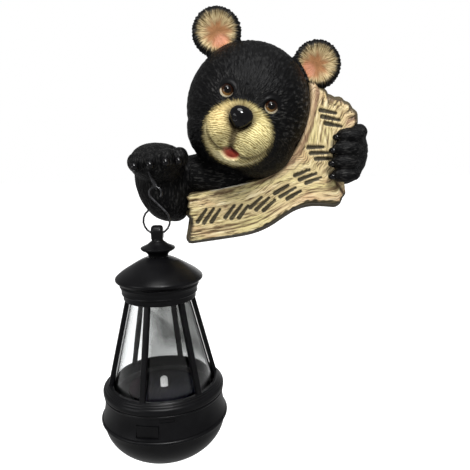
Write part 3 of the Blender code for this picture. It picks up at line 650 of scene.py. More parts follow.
def neighbours(mesh):
    """Pairs of points that share a side or a diagonal of a three- or four-sided face, both ways round."""
    loops = read_all(mesh.loops, "vertex_index", 1, np.int32)
    start = read_all(mesh.polygons, "loop_start", 1, np.int32)
    total = read_all(mesh.polygons, "loop_total", 1, np.int32)
    first, second = [], []
    for sides, pairs in ((4, ((0, 1), (1, 2), (2, 3), (3, 0), (0, 2), (1, 3))),
                         (3, ((0, 1), (1, 2), (2, 0)))):
        corner = start[total == sides]
        first += [loops[corner + a] for a, _ in pairs]
        second += [loops[corner + b] for _, b in pairs]
    return np.concatenate(first + second), np.concatenate(second + first)


def strands(mesh, points, flow):
    """Noise smeared along flow, so that it reads as combed strands. Its mean is 0 and its spread 1."""
    first, second = neighbours(mesh)
    weight = np.abs((unit(points[second] - points[first]) * flow[first]).sum(1)) ** 8 + 1e-6
    count = len(points)
    total = np.bincount(first, weight, count) + 0.3
    value = np.random.default_rng(7).random(count)
    for _ in range(14):
        value = (0.3 * value + np.bincount(first, weight * value[second], count)) / total
    mean = value
    for _ in range(6):
        mean = (mean + np.bincount(first, mean[second], count)) / (np.bincount(first, minlength=count) + 1.0)
    value = value - mean
    return value / value.std()


def muzzle_reach(across, up):
    """How far inside the cream muzzle a point is, in millimetres. Below 0 it is outside."""
    dx, dz = across - MUZZLE_CENTRE[0], up - MUZZLE_CENTRE[1]
    angle = np.degrees(np.arctan2(dz, dx)) % 360
    return np.interp(angle, np.arange(0, 361, 30), MUZZLE_REACH) - np.hypot(dx, dz)


def bear(material):
    """The skin: head, ears, arms and body, with the face, the fur's relief and the paint."""
    body = body_object()
    mesh = body.data
    points = read_all(mesh.vertices, "co", 3).astype(float) / MM
    normals = read_all(mesh.vertex_normals, "vector", 3).astype(float)
    x, out, z = points[:, 0] - HEAD_X, -points[:, 1], points[:, 2] - HEAD_Z
    across, up = in_face(x, z)
    facing = -normals[:, 1]
    skull = np.min([np.hypot((across - a) / wide, (up - b) / high) for (a, b), (wide, high) in SKULL], 0)
    head = smooth(1.10, 1.02, skull) * smooth(14, 22, out)

    # Which way the fur lies: away from the nose, away from the eyes, and along the arms
    from_root = points - face_point(*FUR_ROOT)
    arm, far_arm = smooth(-34, -46, x), smooth(48, 58, x)
    middle = 1 - arm - far_arm
    along_arms = unit(np.stack((middle + arm * 0.12 + far_arm * 0.8, arm * 0.5 * (30 - out) / 30,
                                middle * 0.18 + arm + far_arm * (z + 30) / 26), 1))
    flow = unit(from_root) * head[:, None] + along_arms * (1 - head)[:, None]
    for centre in EYES.values():
        away = points - face_point(*centre)
        flow += unit(away) * (bell(np.linalg.norm(away, axis=1), 13.0) * head * 3)[:, None]
    ears = []
    for centre, radius in EARS:
        dx, dz = x - centre[0], z - centre[2]
        r = np.hypot(dx, dz)
        away = unit(np.stack((dx, np.zeros_like(dx), dz), 1))
        disc = smooth(1.0, 1.06, skull) * smooth(radius + 4, radius + 1, r)
        flow = flow * (1 - disc)[:, None] + away * disc[:, None]
        ears.append((centre, radius, dx, dz, r, away, disc))
    flow = unit(flow - normals * (flow * normals).sum(1)[:, None])
    hair = strands(mesh, points, flow)

    # Carved forms: lids, the groove below the nose, the smile's crease, the mouth and the nose's seat
    shift = np.zeros(len(points))
    lids = np.zeros(len(points))
    front = smooth(36, 42, out)
    for ex, _, eu in EYES.values():
        r = np.hypot(across - ex, up - eu)
        above = np.clip((up - eu) / np.maximum(r, 0.1), 0, 1)
        shift += front * (0.3 + 0.4 * above) * bell(r - 5.1, 0.9)
        shift -= front * 2.0 * smooth(4.2, 3.0, r)
        brow = np.hypot((across - ex) / 6.4, (up - eu - 2.6) / 6.6)
        lids = np.maximum(lids, front * np.maximum(smooth(5.8, 5.0, r), smooth(1.1, 0.7, brow)))
    muzzle_in = muzzle_reach(across, up)
    groove, _ = line_distance(across, up, NOSE_GROOVE)
    shift -= 1.1 * bell(groove, 1.3) * smooth(48, 52, out)
    crease, along = line_distance(across, up, smooth_line(SMILE, 4))
    smile = bell(crease, 1.1) * front * curve(along, SMILE_DEPTH)
    shift -= 1.1 * smile
    lens = np.hypot((across + 1.9) / 6.7, (up + 32.3 - 0.02 * (across + 1.9) ** 2) / 3.6)
    mouth = smooth(1.05, 0.85, lens) * front * smooth(-28.2, -29.0, up + 0.05 * (across + 2.5) ** 2)
    shift -= 2.2 * mouth
    nose_ring = np.hypot((across + 3) / 6.6, (up + 9.6) / 6.2)
    shift -= front * 0.4 * bell(nose_ring - 1.05, 0.2)
    moved = points + normals * shift[:, None]

    # Ear cups, with tufts round the rim
    ear_fringe = np.full(len(points), -50.0)
    for _, radius, dx, dz, r, away, disc in ears:
        inner = radius - 3.4
        cup = 30 - 5 * np.sqrt(np.clip(1 - (r / inner) ** 2, 0, 1))
        inside = (r < inner) & (facing > 0.05) & (disc > 0.2)
        target = np.minimum(-moved[:, 1], cup)
        moved[:, 1] = np.where(inside, -(target * disc - moved[:, 1] * (1 - disc)), moved[:, 1])
        angle = np.arctan2(dz, dx)
        teeth = np.abs(((angle * radius / 2.3 + 0.3 * np.sin(angle * 9)) % 1) - 0.5) * 2
        moved -= away * (disc * smooth(radius - 2.4, radius + 0.2, r) * teeth * 0.8)[:, None]
        in_ear = (disc > 0.3) & (facing > 0.12)
        ear_fringe = np.where(in_ear, np.maximum(ear_fringe, 0.8 * (radius - 5.2 - r)), ear_fringe)

    # Fur relief, least where the paint is smooth. The wall side and the keyhole keep their form.
    lip_line = curve(across, LIP_TOP)
    lip = smooth(0.0, 1.6, lip_line - up) * smooth(0.5, 2.5, muzzle_in) * front
    bare = np.clip(lids + mouth * 2 + smooth(1.25, 1.02, nose_ring) * front, 0, 1)
    fur = (1 - bare) * (1 - 0.4 * lip) * smooth(1, 8, out)
    muzzle = smooth(-1.5, 0.5, muzzle_in) * front * smooth(-4, -9, up)
    moved += normals * (0.11 * fur * np.clip(hair, -2.2, 2.2))[:, None]
    low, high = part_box("bear_casting")
    moved = np.clip(moved, np.array(low) / MM, np.array(high) / MM)
    keyway = (np.abs(points[:, 0]) < 5.6) & (points[:, 2] > -26) & (points[:, 2] < -3.5) & (out < 9.6)
    kept = keyway | (out < 0.01)
    moved[kept] = points[kept]
    mesh.vertices.foreach_set("co", (moved * MM).astype(np.float32).ravel())
    mesh.update()

    # Places for the strands' noise: across the strands, and drawn out along them
    side, rise = across - FUR_ROOT[0], up - FUR_ROOT[2]
    girth = 24 / np.maximum(np.hypot(side, rise), 0.5)
    lie = np.stack((side * girth, rise * girth, np.linalg.norm(from_root, axis=1) * 0.33), 1)
    pads = (muzzle_in > -1.5) & (front > 0) & (rise < 0)
    lie[pads] = np.stack((0 * up, rise + 0.010 * side**2, 30 + side * 0.55), 1)[pads]
    off_head = (skull > 1.03) | (out < 16)
    chest = off_head & (x > -40) & (x < 48)
    far_paw = off_head & (x >= 48)
    for part, scale in ((off_head, (1, 1, 0.2)), (chest, (0.2, 1, 1)), (far_paw, (0.25, 1, 1))):
        lie[part] = points[part] * scale

    # Frosted strands: the head's right side, the arms and chest, and a ring round each eye
    frost = np.max((0.26 * head * smooth(-34, -8, up) * smooth(18, 36, across),
                    0.10 * off_head * (facing > 0), 0.20 * chest * (facing > 0)), 0)
    for ex, _, eu in EYES.values():
        r = np.hypot(across - ex, up - eu)
        frost = np.maximum(frost, 0.16 * front * bell(r - 8.5, 3.0) * (1 - lids))

    # The cream paint of the muzzle with painted shade in its creases, round the nose and below it, and the
    # red inside of the mouth with painted shade at its top
    below_nose = bell(across + 4, 5.5) * smooth(-13, -17, up) * smooth(-30, -24, up)
    # Painted shade: darker in the groove below the nose, round the nose, along the smile's crease and below
    # the nose
    painted_shade_and_reflection = np.clip(0.95 * bell(groove, 2.0) * smooth(-30, -26, up) + 0.9 * smooth(1.75, 1.0, nose_ring)
                    + 0.9 * smile + 0.45 * below_nose, 0, 1)
    lip_colour = mix((0.76, 0.65, 0.34), (0.97, 0.88, 0.54), smooth(-15, -7, across))
    # The top of the mouth is painted darker, as painted shade under the upper lip
    mouth_colour = painted((0.36, 0.055, 0.035), [
        ((0.09, 0.010, 0.008), smooth(-33.2, -30.0, up)),
        ((0.50, 0.27, 0.15), 0.85 * smooth(0.35, 1.0, lens) * smooth(-2.5, -7.0, across))])
    paint = painted((0.80, 0.71, 0.37), [
        ((0.72, 0.54, 0.27), 0.75 * smooth(6, -18, across) * smooth(-34, -6, up)),
        ((0.42, 0.35, 0.17), 0.65 * smooth(5.5, 0.0, muzzle_in)),
        ((0.070, 0.048, 0.026), painted_shade_and_reflection * 0.92),
        (lip_colour, lip * (1 - 0.6 * smile)),
        ((0.42, 0.34, 0.18), 0.6 * lip * smooth(3.2, 0.4, muzzle_in)),
        # Painted shade along the smile's crease, above the lower lip
        ((0.30, 0.23, 0.10), 0.6 * smooth(4, 0, crease) * smooth(-2, 2, lip_line - up) * (1 - lip)),
        (mouth_colour, mouth)])

    # How far inside the light paint a point is: the material adds noise, and paints it dark below 0
    fringe = np.where(front > 0.3, muzzle_in - 1.0, -50.0)
    fringe = np.where(mouth > 0.2, 50.0, fringe)
    fringe = np.where(front > 0.5, np.minimum(fringe, (nose_ring - 1.10) * 12), fringe)
    fringe = np.where((front > 0.5) & (nose_ring < 1.0), -50.0, fringe)
    rough = np.where(fringe > -5, 0.46, 0.50) - 0.16 * lip - 0.1 * lids
    fringe = np.maximum(fringe, ear_fringe)

    # The ears' own strands and paint, with a smooth heart towards the head
    for centre, radius, dx, dz, r, _, disc in ears:
        own = disc > 0.3
        girth = 22 / np.maximum(r, 0.5)
        lie[own] = np.stack((dx * girth + 60, dz * girth, r * 0.25), 1)[own]
        toward = -np.array((centre[0], centre[2])) / math.hypot(centre[0], centre[2])
        root, heart = [np.hypot(dx - toward[0] * radius * share, dz - toward[1] * radius * share) / radius
                       for share in (0.42, 0.12)]
        heart = heart + 0.06 * np.clip(hair, -1.5, 1.5)
        inner = painted((0.62, 0.50, 0.30), [((0.36, 0.175, 0.08), smooth(0.66, 0.30, heart)),
                                             ((0.60, 0.27, 0.17), 0.9 * smooth(0.40, 0.15, root))])
        paint = np.where(own[:, None], inner, paint)
        fur = np.where(own, fur * (1 - 0.55 * smooth(0.62, 0.30, heart)), fur)
        rough = np.where(own, 0.5 - 0.32 * smooth(0.55, 0.25, root), rough)

    set_colours(mesh, "paint", paint)
    for name, values in (("gloss", rough), ("fringe", fringe), ("fur", fur), ("frost", frost),
                         ("muzzle", muzzle), ("lie", lie)):
        set_values(mesh, name, values)
    dress(body, material, "bear_casting", None)


def claws_and_nose(gloss):
    """Claws that bend downwards, and a nose that is wider above, with nostrils and a groove between them."""
    shells = []
    for x, out, z in NEAR_FINGERS:
        points, faces = ball(24, 16)
        points *= (2.8, 3.2, 2.8)
        points[:, 2] -= 0.12 * np.clip(-points[:, 1], 0, None) ** 1.3
        shells.append((points + head_point(x, out + 7, z - 2), faces))
    for x, out, z in FAR_FINGERS:
        points, faces = ball(24, 16)
        shells.append((points * (3.2, 3.0, 2.4) + head_point(x - 8.5, out, z - 1), faces))
    points, faces = ball(64, 40)
    x, y, z = points.T
    front = y < 0
    wide = x * (1.04 + 0.22 * z - 0.12 * np.clip(-z, 0, 1))
    for side in (-1, 1):
        y = y + 0.22 * smooth(1.1, 0.0, np.hypot((x - side * 0.50) / 0.24, (z + 0.30) / 0.20)) * front
    y = y + 0.08 * bell(x, 0.10) * front * smooth(0.35, -0.2, z)
    nose = turned_in_wall(np.stack((wide, y, z), 1) * NOSE_HALF, TILT) + face_point(*NOSE_CENTRE)
    shells.append((nose, faces))
    dress(shell_object("bear_claws_and_nose", shells), gloss, "bear_casting", None)


# The board

def strokes(x, z):
    """How deep the strokes are carved at places on the board, and how near the light paint round them is."""
    carved, halo = np.zeros(len(x)), np.zeros(len(x))
    for middle_x, middle_z, lean in STROKE_GROUPS:
        turn = math.radians(lean)
        tilt = turn + STROKE_SLANT
        for step, rise, size in STROKES:
            cx = middle_x + step * math.cos(turn) + rise * math.sin(turn)
            cz = middle_z - step * math.sin(turn) + rise * math.cos(turn)
            half = size / 2 - 0.6
            ends = [(cx - half * math.sin(tilt), cz - half * math.cos(tilt)),
                    (cx + half * math.sin(tilt), cz + half * math.cos(tilt))]
            distance, share = line_distance(x, z, ends)
            carved = np.maximum(carved, smooth(1.1, 0.6, distance / (1.7 - 0.6 * share)))
            halo = np.maximum(halo, smooth(4.2, 2.2, distance))
    return carved, halo


def splits(x, z):
    """How deep the splits are at places on the board. Each narrows towards its end."""
    made = np.zeros(len(x))
    wobble = 0.35 * ripple(x / 4, z / 4, 15)
    for start, end, size in SPLITS:
        distance, share = line_distance(x, z, [start, end])
        made = np.maximum(made, smooth(1.0, 0.3, (distance + wobble) / (size * (1.1 - 0.7 * share))))
    return made


def board(wood):
    """The board: a curved strip whose grain runs along it, with splintered ends and a darker sawn edge."""
    columns, rows = ((330, 64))
    lower, length = by_length(smooth_line(BOARD_LOWER) + BOARD_RIGHT, columns)
    upper, _ = by_length(smooth_line(BOARD_INNER)[::-1], columns)
    left, _ = by_length([BOARD_LOWER[0], *BOARD_LEFT[::-1], BOARD_INNER[-1]], rows)
    right, _ = by_length([BOARD_RIGHT[-1], *BOARD_TOP, BOARD_INNER[0]], rows)
    s = np.linspace(0, 1, columns)[:, None, None]
    t = np.linspace(0, 1, rows)[None, :, None]
    patch = (1 - t) * lower[:, None] + t * upper[:, None] + (1 - s) * left[None] + s * right[None]
    patch -= ((1 - s) * (1 - t) * lower[0] + s * (1 - t) * lower[-1]
              + (1 - s) * t * upper[0] + s * t * upper[-1])
    s, t = s[..., 0], t[..., 0]
    width = np.hypot(*(patch[:, -1] - patch[:, 0]).T)[:, None]
    along, wide = s * length, t * width
    edge_long = np.minimum(t, 1 - t) * width
    edge_end = np.minimum(s, 1 - s) * length

    # Relief: carved grain, cracks from the ends, strokes and splits
    wave = t * 34 + 1.2 * np.sin(along / 24 + 1) + 0.25 * ripple(along / 9, t * 3, 3)
    grain = np.zeros_like(wave)
    random = np.random.default_rng(11)
    for frequency, weight in ((0.55, 0.5), (1.3, 0.45), (2.4, 0.35)):
        phase = random.random() * 6
        swell = 0.6 + 0.4 * ripple(along / 14, t * 5, int(frequency * 100))
        bend = 0.4 * ripple(along / 22, t * 4, int(frequency * 50))
        grain += weight * swell * np.sin(wave * frequency + phase + bend)
    fibre = np.zeros_like(wave)
    for k in range(rows):
        line = random.random(columns // 9 + 2)
        places = np.linspace(0, len(line) - 1, columns) + random.random()
        fibre[:, k] = np.interp(places, np.arange(len(line)), line) - 0.5
    crack_line = np.sin(wave * 1.7 + 2.1) + 0.3 * ripple(along / 6, t * 6, 5)
    crack = smooth(0.78, 1.05, crack_line) * smooth(20, 2, edge_end + 6 * ripple(along / 8, t * 9, 6))
    splinter = smooth(2.6, 0.2, edge_end + 0.8 * fibre)
    flat_x, flat_z = patch.reshape(-1, 2).T
    carved, halo = [values.reshape(wave.shape) for values in strokes(flat_x, flat_z)]
    split = splits(flat_x, flat_z).reshape(wave.shape)
    bevel_width = curve(s, BEVEL) * (1 + 0.35 * ripple(along / 5, 0, 14))
    bevel = smooth(1.1, 0.85, wide / bevel_width)
    from_edge = 1 - np.clip(np.minimum(edge_long, edge_end) / 1.6, 0, 1)
    roll = 0.9 * smooth(bevel_width, 0, wide) + 1.2 * (1 - np.sqrt(np.clip(1 - from_edge**2, 0, 1)))
    drop = roll + 0.9 * crack + 1.1 * split + 0.9 * carved + 0.5 * splinter
    drop += 0.16 * (1 - grain) + 0.14 * fibre + 0.1
    drop = np.clip(drop, 0.02, 3.2).ravel()

    # Paint, from the ground coat up
    tone = ripple(along / 24, t * 4, 21)
    raised = grain + fibre
    inner_edge = smooth(2.4, 0.4, (1 - t) * width)
    groove = smooth(0.15, 0.6, carved)
    bevel_colour = mix((0.018, 0.014, 0.006), (0.12, 0.095, 0.045), smooth(-0.4, 0.8, raised))
    paint = painted((0.66, 0.54, 0.31), [
        ((0.68, 0.59, 0.30), smooth(-0.6, 0.8, tone)),
        ((0.52, 0.32, 0.18), 0.5 * smooth(0.3, 1.1, ripple(along / 17, t * 5, 22))),
        ((0.93, 0.84, 0.60), 0.75 * smooth(0.2, 1.0, raised)),
        ((0.13, 0.075, 0.035), 0.92 * smooth(0.0, -0.6, grain + 0.8 * fibre)),
        ((0.50, 0.30, 0.20), 0.5 * smooth(9, 1, edge_long + 2.5 * tone) * smooth(0.2, 0.8, s)),
        ((0.06, 0.04, 0.022), 0.9 * crack),
        ((0.08, 0.055, 0.03), 0.85 * splinter),
        ((0.075, 0.043, 0.022), 0.92 * split),
        ((0.13, 0.095, 0.055), 0.75 * inner_edge * smooth(-0.6, 0.3, ripple(along / 7, t, 9) + s * 1.4)),
        # Painted highlight: a pale streak along the inner edge near the left end, where the edge catches the
        # light
        ((1.0, 0.97, 0.90), 0.85 * inner_edge * smooth(0.10, 0.16, s) * smooth(0.36, 0.30, s)),
        (bevel_colour, bevel),
        ((0.60, 0.49, 0.27), 0.75 * halo),
        ((0.040, 0.032, 0.015), groove),
        ((0.10, 0.085, 0.045), 0.6 * groove * smooth(0.2, 1.0, raised))])

    # The carved face, then the sides in layers that widen towards the back
    count = columns * rows
    points = [np.stack((flat_x + HEAD_X, drop - BOARD_FRONT, flat_z + HEAD_Z), 1)]
    index = np.arange(count).reshape(columns, rows)
    faces = [(index[i, k], index[i + 1, k], index[i + 1, k + 1], index[i, k + 1])
             for i in range(columns - 1) for k in range(rows - 1)]
    rim = np.concatenate((index[:-1, 0], index[-1, :-1], index[:0:-1, -1], index[0, :0:-1]))
    outline = np.stack((flat_x[rim], flat_z[rim]), 1)
    outwards = widened(outline, 1.0) - outline
    layers = 7
    random = np.random.default_rng(31)
    notch = np.interp(np.linspace(0, 90, len(rim)), np.arange(92), random.random(92) - 0.5)
    strata = random.random(layers + 1)
    colours, last = [paint], rim
    for layer in range(1, layers + 1):
        depth = layer / layers
        spread = BOARD_DRAFT * depth - 0.45 * math.sin(depth * math.pi) * (1 + notch) * 1.2
        ring = outline + outwards * (spread - 0.25 * (layer < layers) * strata[layer])[:, None]
        y = -BOARD_FRONT + drop[rim] * (1 - depth) + BOARD_THICKNESS * depth
        points.append(np.stack((ring[:, 0] + HEAD_X, y, ring[:, 1] + HEAD_Z), 1))
        side = mix((0.040, 0.032, 0.018), (0.13, 0.105, 0.060), 0.5 + 0.5 * np.sin(layer * 2.1 + notch * 6))
        colours.append(mix(side, (0.30, 0.24, 0.14), 0.5) if layer == 1 else side)
        ids = np.arange(len(rim)) + count + (layer - 1) * len(rim)
        faces += zip(last, ids, np.roll(ids, -1), np.roll(last, -1))
        last = ids
    faces.append(last[::-1])
    made = outward(shell_object("bear_board", [(np.concatenate(points), faces)]))
    set_colours(made.data, "paint", np.concatenate(colours))
    gloss = np.full(count + layers * len(rim), 0.52)
    gloss[:count] += (0.1 * groove - 0.08 * smooth(0.0, 1.0, grain)).ravel()
    set_values(made.data, "gloss", gloss)

    # The grain's places, in millimetres along and across the board
    face_place = np.stack((np.broadcast_to(along, wide.shape).ravel(), wide.ravel()), 1)
    side_place = np.stack((np.tile(face_place[rim, 0], layers),
                           np.repeat(np.arange(layers) * 1.3 + 50, len(rim))), 1)
    place = np.concatenate((face_place, side_place))[read_all(made.data.loops, "vertex_index", 1, np.int32)]
    uv = made.data.uv_layers.new(name="grain")
    uv.data.foreach_set("uv", (place * 0.01).astype(np.float32).ravel())
    dress(made, wood, "bear_casting", 60)


# Eyes

def eye(name, glass):
    """A glass ball a little smaller than its solid, with its origin in the middle."""
    points, faces = ball(64, 40)
    made = shell_object(name + "_dome", [(points * (EYE_RADIUS - 0.02), faces)])
    made.location = face_point(*EYES[name]) * MM
    bpy.context.view_layer.update()
    dress(made, glass, name)


# The lantern

def rounded(profile, radius, steps=3, closed=False):
    """The profile with its corners rounded, each by no more than its sides allow."""
    points = [np.array(p, float) for p in profile]
    made = []
    count = len(points)
    for i, point in enumerate(points):
        if not closed and i in (0, count - 1):
            made.append(tuple(point))
            continue
        before, after = points[i - 1], points[(i + 1) % count]
        a, b = before - point, after - point
        la, lb = np.hypot(*a), np.hypot(*b)
        a, b = a / la, b / lb
        turn = math.acos(max(-1, min(1, -float(a @ b))))
        if turn < math.radians(12):
            made.append(tuple(point))
            continue
        reach = min(radius * math.tan(turn / 2), la * 0.45, lb * 0.45)
        for k in range(steps + 1):
            u = k / steps
            start, end = point + a * reach, point + b * reach
            made.append(tuple((1 - u) ** 2 * start + 2 * u * (1 - u) * point + u**2 * end))
    return made


def lathe(profile, steps=96, closed=False):
    """A shell turned about the lantern's axis, from radius and height pairs. A closed one is a ring."""
    turns = [math.tau * i / steps for i in range(steps)]
    points, rings = [], []
    for radius, height in profile:
        angles = turns if radius > 0 else [0.0]
        rings.append(range(len(points), len(points) + len(angles)))
        points += [(AXIS_X + radius * math.cos(a), -AXIS_OUT + radius * math.sin(a), height) for a in angles]
    faces = []
    for a, b in zip(rings, rings[1:] + rings[:1] if closed else rings[1:]):
        for i in range(steps):
            j = (i + 1) % steps
            if len(a) > 1 and len(b) > 1:
                faces.append((a[i], b[i], b[j], a[j]))
            elif len(b) > 1:
                faces.append((a[0], b[i], b[j]))
            elif len(a) > 1:
                faces.append((a[i], b[0], a[j]))
    return np.array(points), faces


def lantern_piece(name, node, shells, material, sharp=40):
    """A lantern node's visible piece, made of closed shells."""
    dress(outward(shell_object(name, shells)), material, node, sharp)


def levels(node):
    """The heights of a node's foot and top, in millimetres."""
    low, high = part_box(node)
    return low.z / MM, high.z / MM


def finial(plastic):
    """A waisted knob on a flange, and the lug that the hook goes through."""
    foot, top = levels("finial")
    flange = top - 15.0
    waist = flange + 6.0
    profile = smooth_line([(3.4, waist + 2.0), (3.8, waist - 1.0), (5.0, flange + 4.0), (6.9, flange + 2.5),
                           (9.6, flange + 1.3), (11.0, flange + 0.6)], 4)
    profile += [(11.2, flange), (11.0, flange - 0.6), (10.2, flange - 1.3)]
    profile += smooth_line([(9.4, flange - 1.6), (7.6, flange - 2.8), (6.7, flange - 4.0), (6.4, foot)], 3)

    # The lug is a ring of sections round its hole. Each reaches as far as the lug's outline lets it.
    hole_radius, hole = 1.3925, top - 5.4925
    half, arch = 4.2, top - 4.2
    thick, bevel, chamfer = 3.8, 1.9, 0.4
    sections, step = 64, 0.05
    quarter = [math.pi / 2 * k / 5 for k in range(6)]
    points, faces = [], []
    for i in range(sections):
        angle = math.tau * i / sections
        dy, dz = math.cos(angle), math.sin(angle)
        reach = 0.0
        while reach < 12:
            y, z = dy * (reach + step), hole + dz * (reach + step)
            side = half * (0.8 + 0.2 * min(1, max(0, (z - waist) / (arch - waist))))
            if (math.hypot(y, z - arch) > half if z > arch else abs(y) > side) or z < waist - 0.6:
                break
            reach += step
        outer = max(reach, hole_radius + 1.2)
        soft = min(bevel, (outer - hole_radius) * 0.6)
        ring = [(hole_radius, chamfer - thick), (hole_radius, thick - chamfer),
                (hole_radius + chamfer, thick)]
        ring += [(outer - soft + soft * math.sin(a), thick - soft + soft * math.cos(a)) for a in quarter]
        ring += [(outer - soft + soft * math.cos(a), -thick + soft - soft * math.sin(a)) for a in quarter]
        ring.append((hole_radius + chamfer, -thick))
        points += [(AXIS_X + w, -AXIS_OUT + dy * r, hole + dz * r) for r, w in ring]
    size = len(ring)
    for i in range(sections):
        this, after = i * size, (i + 1) % sections * size
        faces += [(this + k, after + k, after + (k + 1) % size, this + (k + 1) % size) for k in range(size)]
    knob = lathe([(0, waist + 2.0), *profile, (0, foot)])
    lantern_piece("finial_knob", "finial", [knob, (np.array(points), faces)], plastic)


def roof(plastic):
    """A hollow cone that curves out to a rounded edge."""
    low, high = levels("lantern_roof")
    edge = low + 2.8
    rise = high - edge
    neck, slope = 7.2, 21.4
    outer = [(0, high), (6.9, high)]
    outer += smooth_line([(neck, high), (neck + slope * 0.22, edge + rise * 0.86),
                          (neck + slope * 0.5, edge + rise * 0.61), (neck + slope * 0.80, edge + rise * 0.32),
                          (27.6, edge + 1.7)], 4)
    outer += [(28.3, edge + 1.0), (28.6, edge + 0.2), (28.5, edge - 0.5), (28.0, edge - 1.1),
              (27.2, edge - 1.5), (26.4, low + 0.2), (26.2, low)]
    ceiling = high - 2.56
    inner = [(24.6, low), (neck + slope * 0.74, edge + rise * 0.20), (6.4, ceiling), (0, ceiling)]
    lantern_piece("lantern_roof_cone", "lantern_roof", [lathe(outer + inner)], plastic, sharp=50)


def around_axis(angle):
    """The lantern's axis, turned so that X points outwards. At 0 that is towards the viewer."""
    return Matrix.Translation((AXIS_X, -AXIS_OUT, 0)) @ Matrix.Rotation(angle - math.pi / 2, 4, "Z")


def window_radius(share):
    """The posts' outer radius, from the top of the windows at 0 to their sill at 1."""
    return 22.6 + 14.2 * share


def cage(plastic):
    """The collar with its steps, the foot ring, and the posts between them."""
    low, high = levels("lantern_cage")
    bottom, sill = high - COLLAR_HEIGHT, low + SILL_HEIGHT
    collar = [(25.9, high), (25.9, high - 1.5), (25.5, high - 1.9), (24.9, high - 3.6), (24.7, high - 5.6),
              (24.9, high - 6.0), (24.6, high - 6.5), (23.9, high - 6.9), (23.7, high - 8.6),
              (23.7, bottom + 0.5), (23.3, bottom), (20.8, bottom), (20.8, high)]
    foot = [(36.3, sill + 0.8), (36.7, sill + 0.8), (37.1, sill + 0.2), (37.4, sill + 0.45),
            (37.8, sill + 0.1), (38.1, sill - 0.6), (38.5, sill - 0.5), (38.9, sill - 0.9),
            (39.2, sill - 1.7), (39.6, sill - 1.7), (40.1, sill - 2.2), (40.5, sill - 3.2),
            (40.5, low + 0.9), (40.1, low), (34.4, low), (34.4, sill + 0.8)]
    shells = [lathe(rounded(collar, 0.3, closed=True), closed=True),
              lathe(rounded(foot, 0.22, closed=True), closed=True)]
    top, base = bottom + 2.6, sill - 2.1
    upper, lower = window_radius(0) - 1.5, window_radius(1) - 1.5
    lean = math.atan2(lower - upper, bottom - sill)
    middle = ((upper + lower) / 2, 0, (top + base) / 2)
    length = (top - base) / math.cos(lean)
    section = rounded([(1.5, 1.8), (-1.5, 1.8), (-1.5, -1.8), (1.5, -1.8)], 0.5, 4, closed=True)
    count = len(section)
    faces = [(k, (k + 1) % count, count + (k + 1) % count, count + k) for k in range(count)]
    faces += [tuple(range(count))[::-1], tuple(range(count, 2 * count))]
    for i in range(POST_COUNT):
        place = around_axis(FIRST_POST + math.tau * i / POST_COUNT)
        place = place @ Matrix.Translation(middle) @ Matrix.Rotation(-lean, 4, "Y")
        points = [tuple(place @ Vector((x, y, h))) for h in (-length / 2, length / 2) for x, y in section]
        shells.append((np.array(points), faces))
    lantern_piece("lantern_cage_frame", "lantern_cage", shells, plastic)


def glazing(clear):
    """The clear tapered shell behind the posts, with a foot that turns outwards."""
    low, high = levels("lantern_glazing")
    sill = levels("lantern_cage")[0] + SILL_HEIGHT
    behind, wall = 3.45, 1.2
    top, base = window_radius(-0.10) - behind, window_radius(1) - behind
    outer = [(top, high), (base, sill), (base, low + wall), (base + 0.6, low + wall), (base + 0.6, low)]
    inner = [(base - wall, low), (base - wall, sill), (top - wall, high)]
    lantern_piece("lantern_window", "lantern_glazing", [lathe(outer + inner, 128, closed=True)], clear,
                  30)


def block(sizes, place):
    """A box for cutting."""
    points = [tuple(place @ Vector((x * sizes[0] / 2, y * sizes[1] / 2, z * sizes[2] / 2)))
              for x in (-1, 1) for y in (-1, 1) for z in (-1, 1)]
    faces = [(0, 1, 3, 2), (4, 6, 7, 5), (0, 4, 5, 1), (2, 3, 7, 6), (0, 2, 6, 4), (1, 5, 7, 3)]
    return outward(shell_object("pocket", [(np.array(points), faces)]))


def housing(plastic):
    """The band with its floor, and the pockets of the hatch and the switch."""
    low, high = levels("base_housing")
    tall = high - low
    outer = [(39.2, high), (39.8, high - 0.3), (40.1, high - 0.9), (39.9, high - 1.5), (39.6, high - 1.9),
             (39.6, high - tall * 0.35), (39.9, low + tall * 0.45), (40.6, low + tall * 0.22),
             (41.4, low + 0.8), (41.7, low)]
    inner = [(38.1, low), (38.1, high - 1.6), (0, high - 1.6)]
    made = outward(shell_object("base_band", [lathe([(0, high)] + rounded(outer, 0.5) + inner, 128)]))
    for angle, rise, width, height in ((-8, -0.16, 14.0, 7.6), (10, 0.29, 8.6, 1.8)):
        face = math.sqrt(40.2**2 - (width / 2) ** 2)
        middle = (face, 0, (low + high) / 2 + tall * rise)
        place = around_axis(math.radians(angle)) @ Matrix.Translation(middle)
        made = cut(made, block((3.6, width + 0.6, height + 0.6), place))
    dress(made, plastic, "base_housing")


def bowl(plastic):
    """The rounded bottom with its lip, as an open cup."""
    low, high = levels("base_bowl")
    base = high - 2.6
    outside, inside = 40.9, 39.3
    angles = [math.pi / 2 * i / 28 for i in range(1, 28)]
    outer = [(41.7, high), (42.4, high - 0.4), (42.7, high - 1.1), (42.6, high - 1.8), (42.0, high - 2.3),
             (41.3, base)]
    outer += [(outside * math.cos(a), base - 29.0 * math.sin(a)) for a in angles] + [(0, low)]
    inner = [(inside * math.cos(a), base - 27.4 * math.sin(a)) for a in angles]
    profile = outer + [(0, low + 1.6)] + inner[::-1] + [(inside, high)]
    lantern_piece("base_cup", "base_bowl", [lathe(profile, 128, closed=True)], plastic)


def lamp(lens, cell):
    """The lamp with its round top, and the solar cell as a flat ring round it."""
    low, high = levels("led")
    radius = 2.5
    angles = [math.pi / 2 * i / 10 for i in range(1, 11)]
    dome = [(radius * math.sin(a), high - radius + radius * math.cos(a)) for a in angles]
    profile = [(0, high), *dome, (radius, low + 1.2), (radius, low), (0, low)]
    lantern_piece("led_lamp", "led", [lathe(profile, 48)], lens)
    low, high = levels("solar_cell")
    ring = rounded([(24.0, high), (24.0, low), (3.4, low), (3.4, high)], 0.2, closed=True)
    lantern_piece("solar_disc", "solar_cell", [lathe(ring, closed=True)], cell)


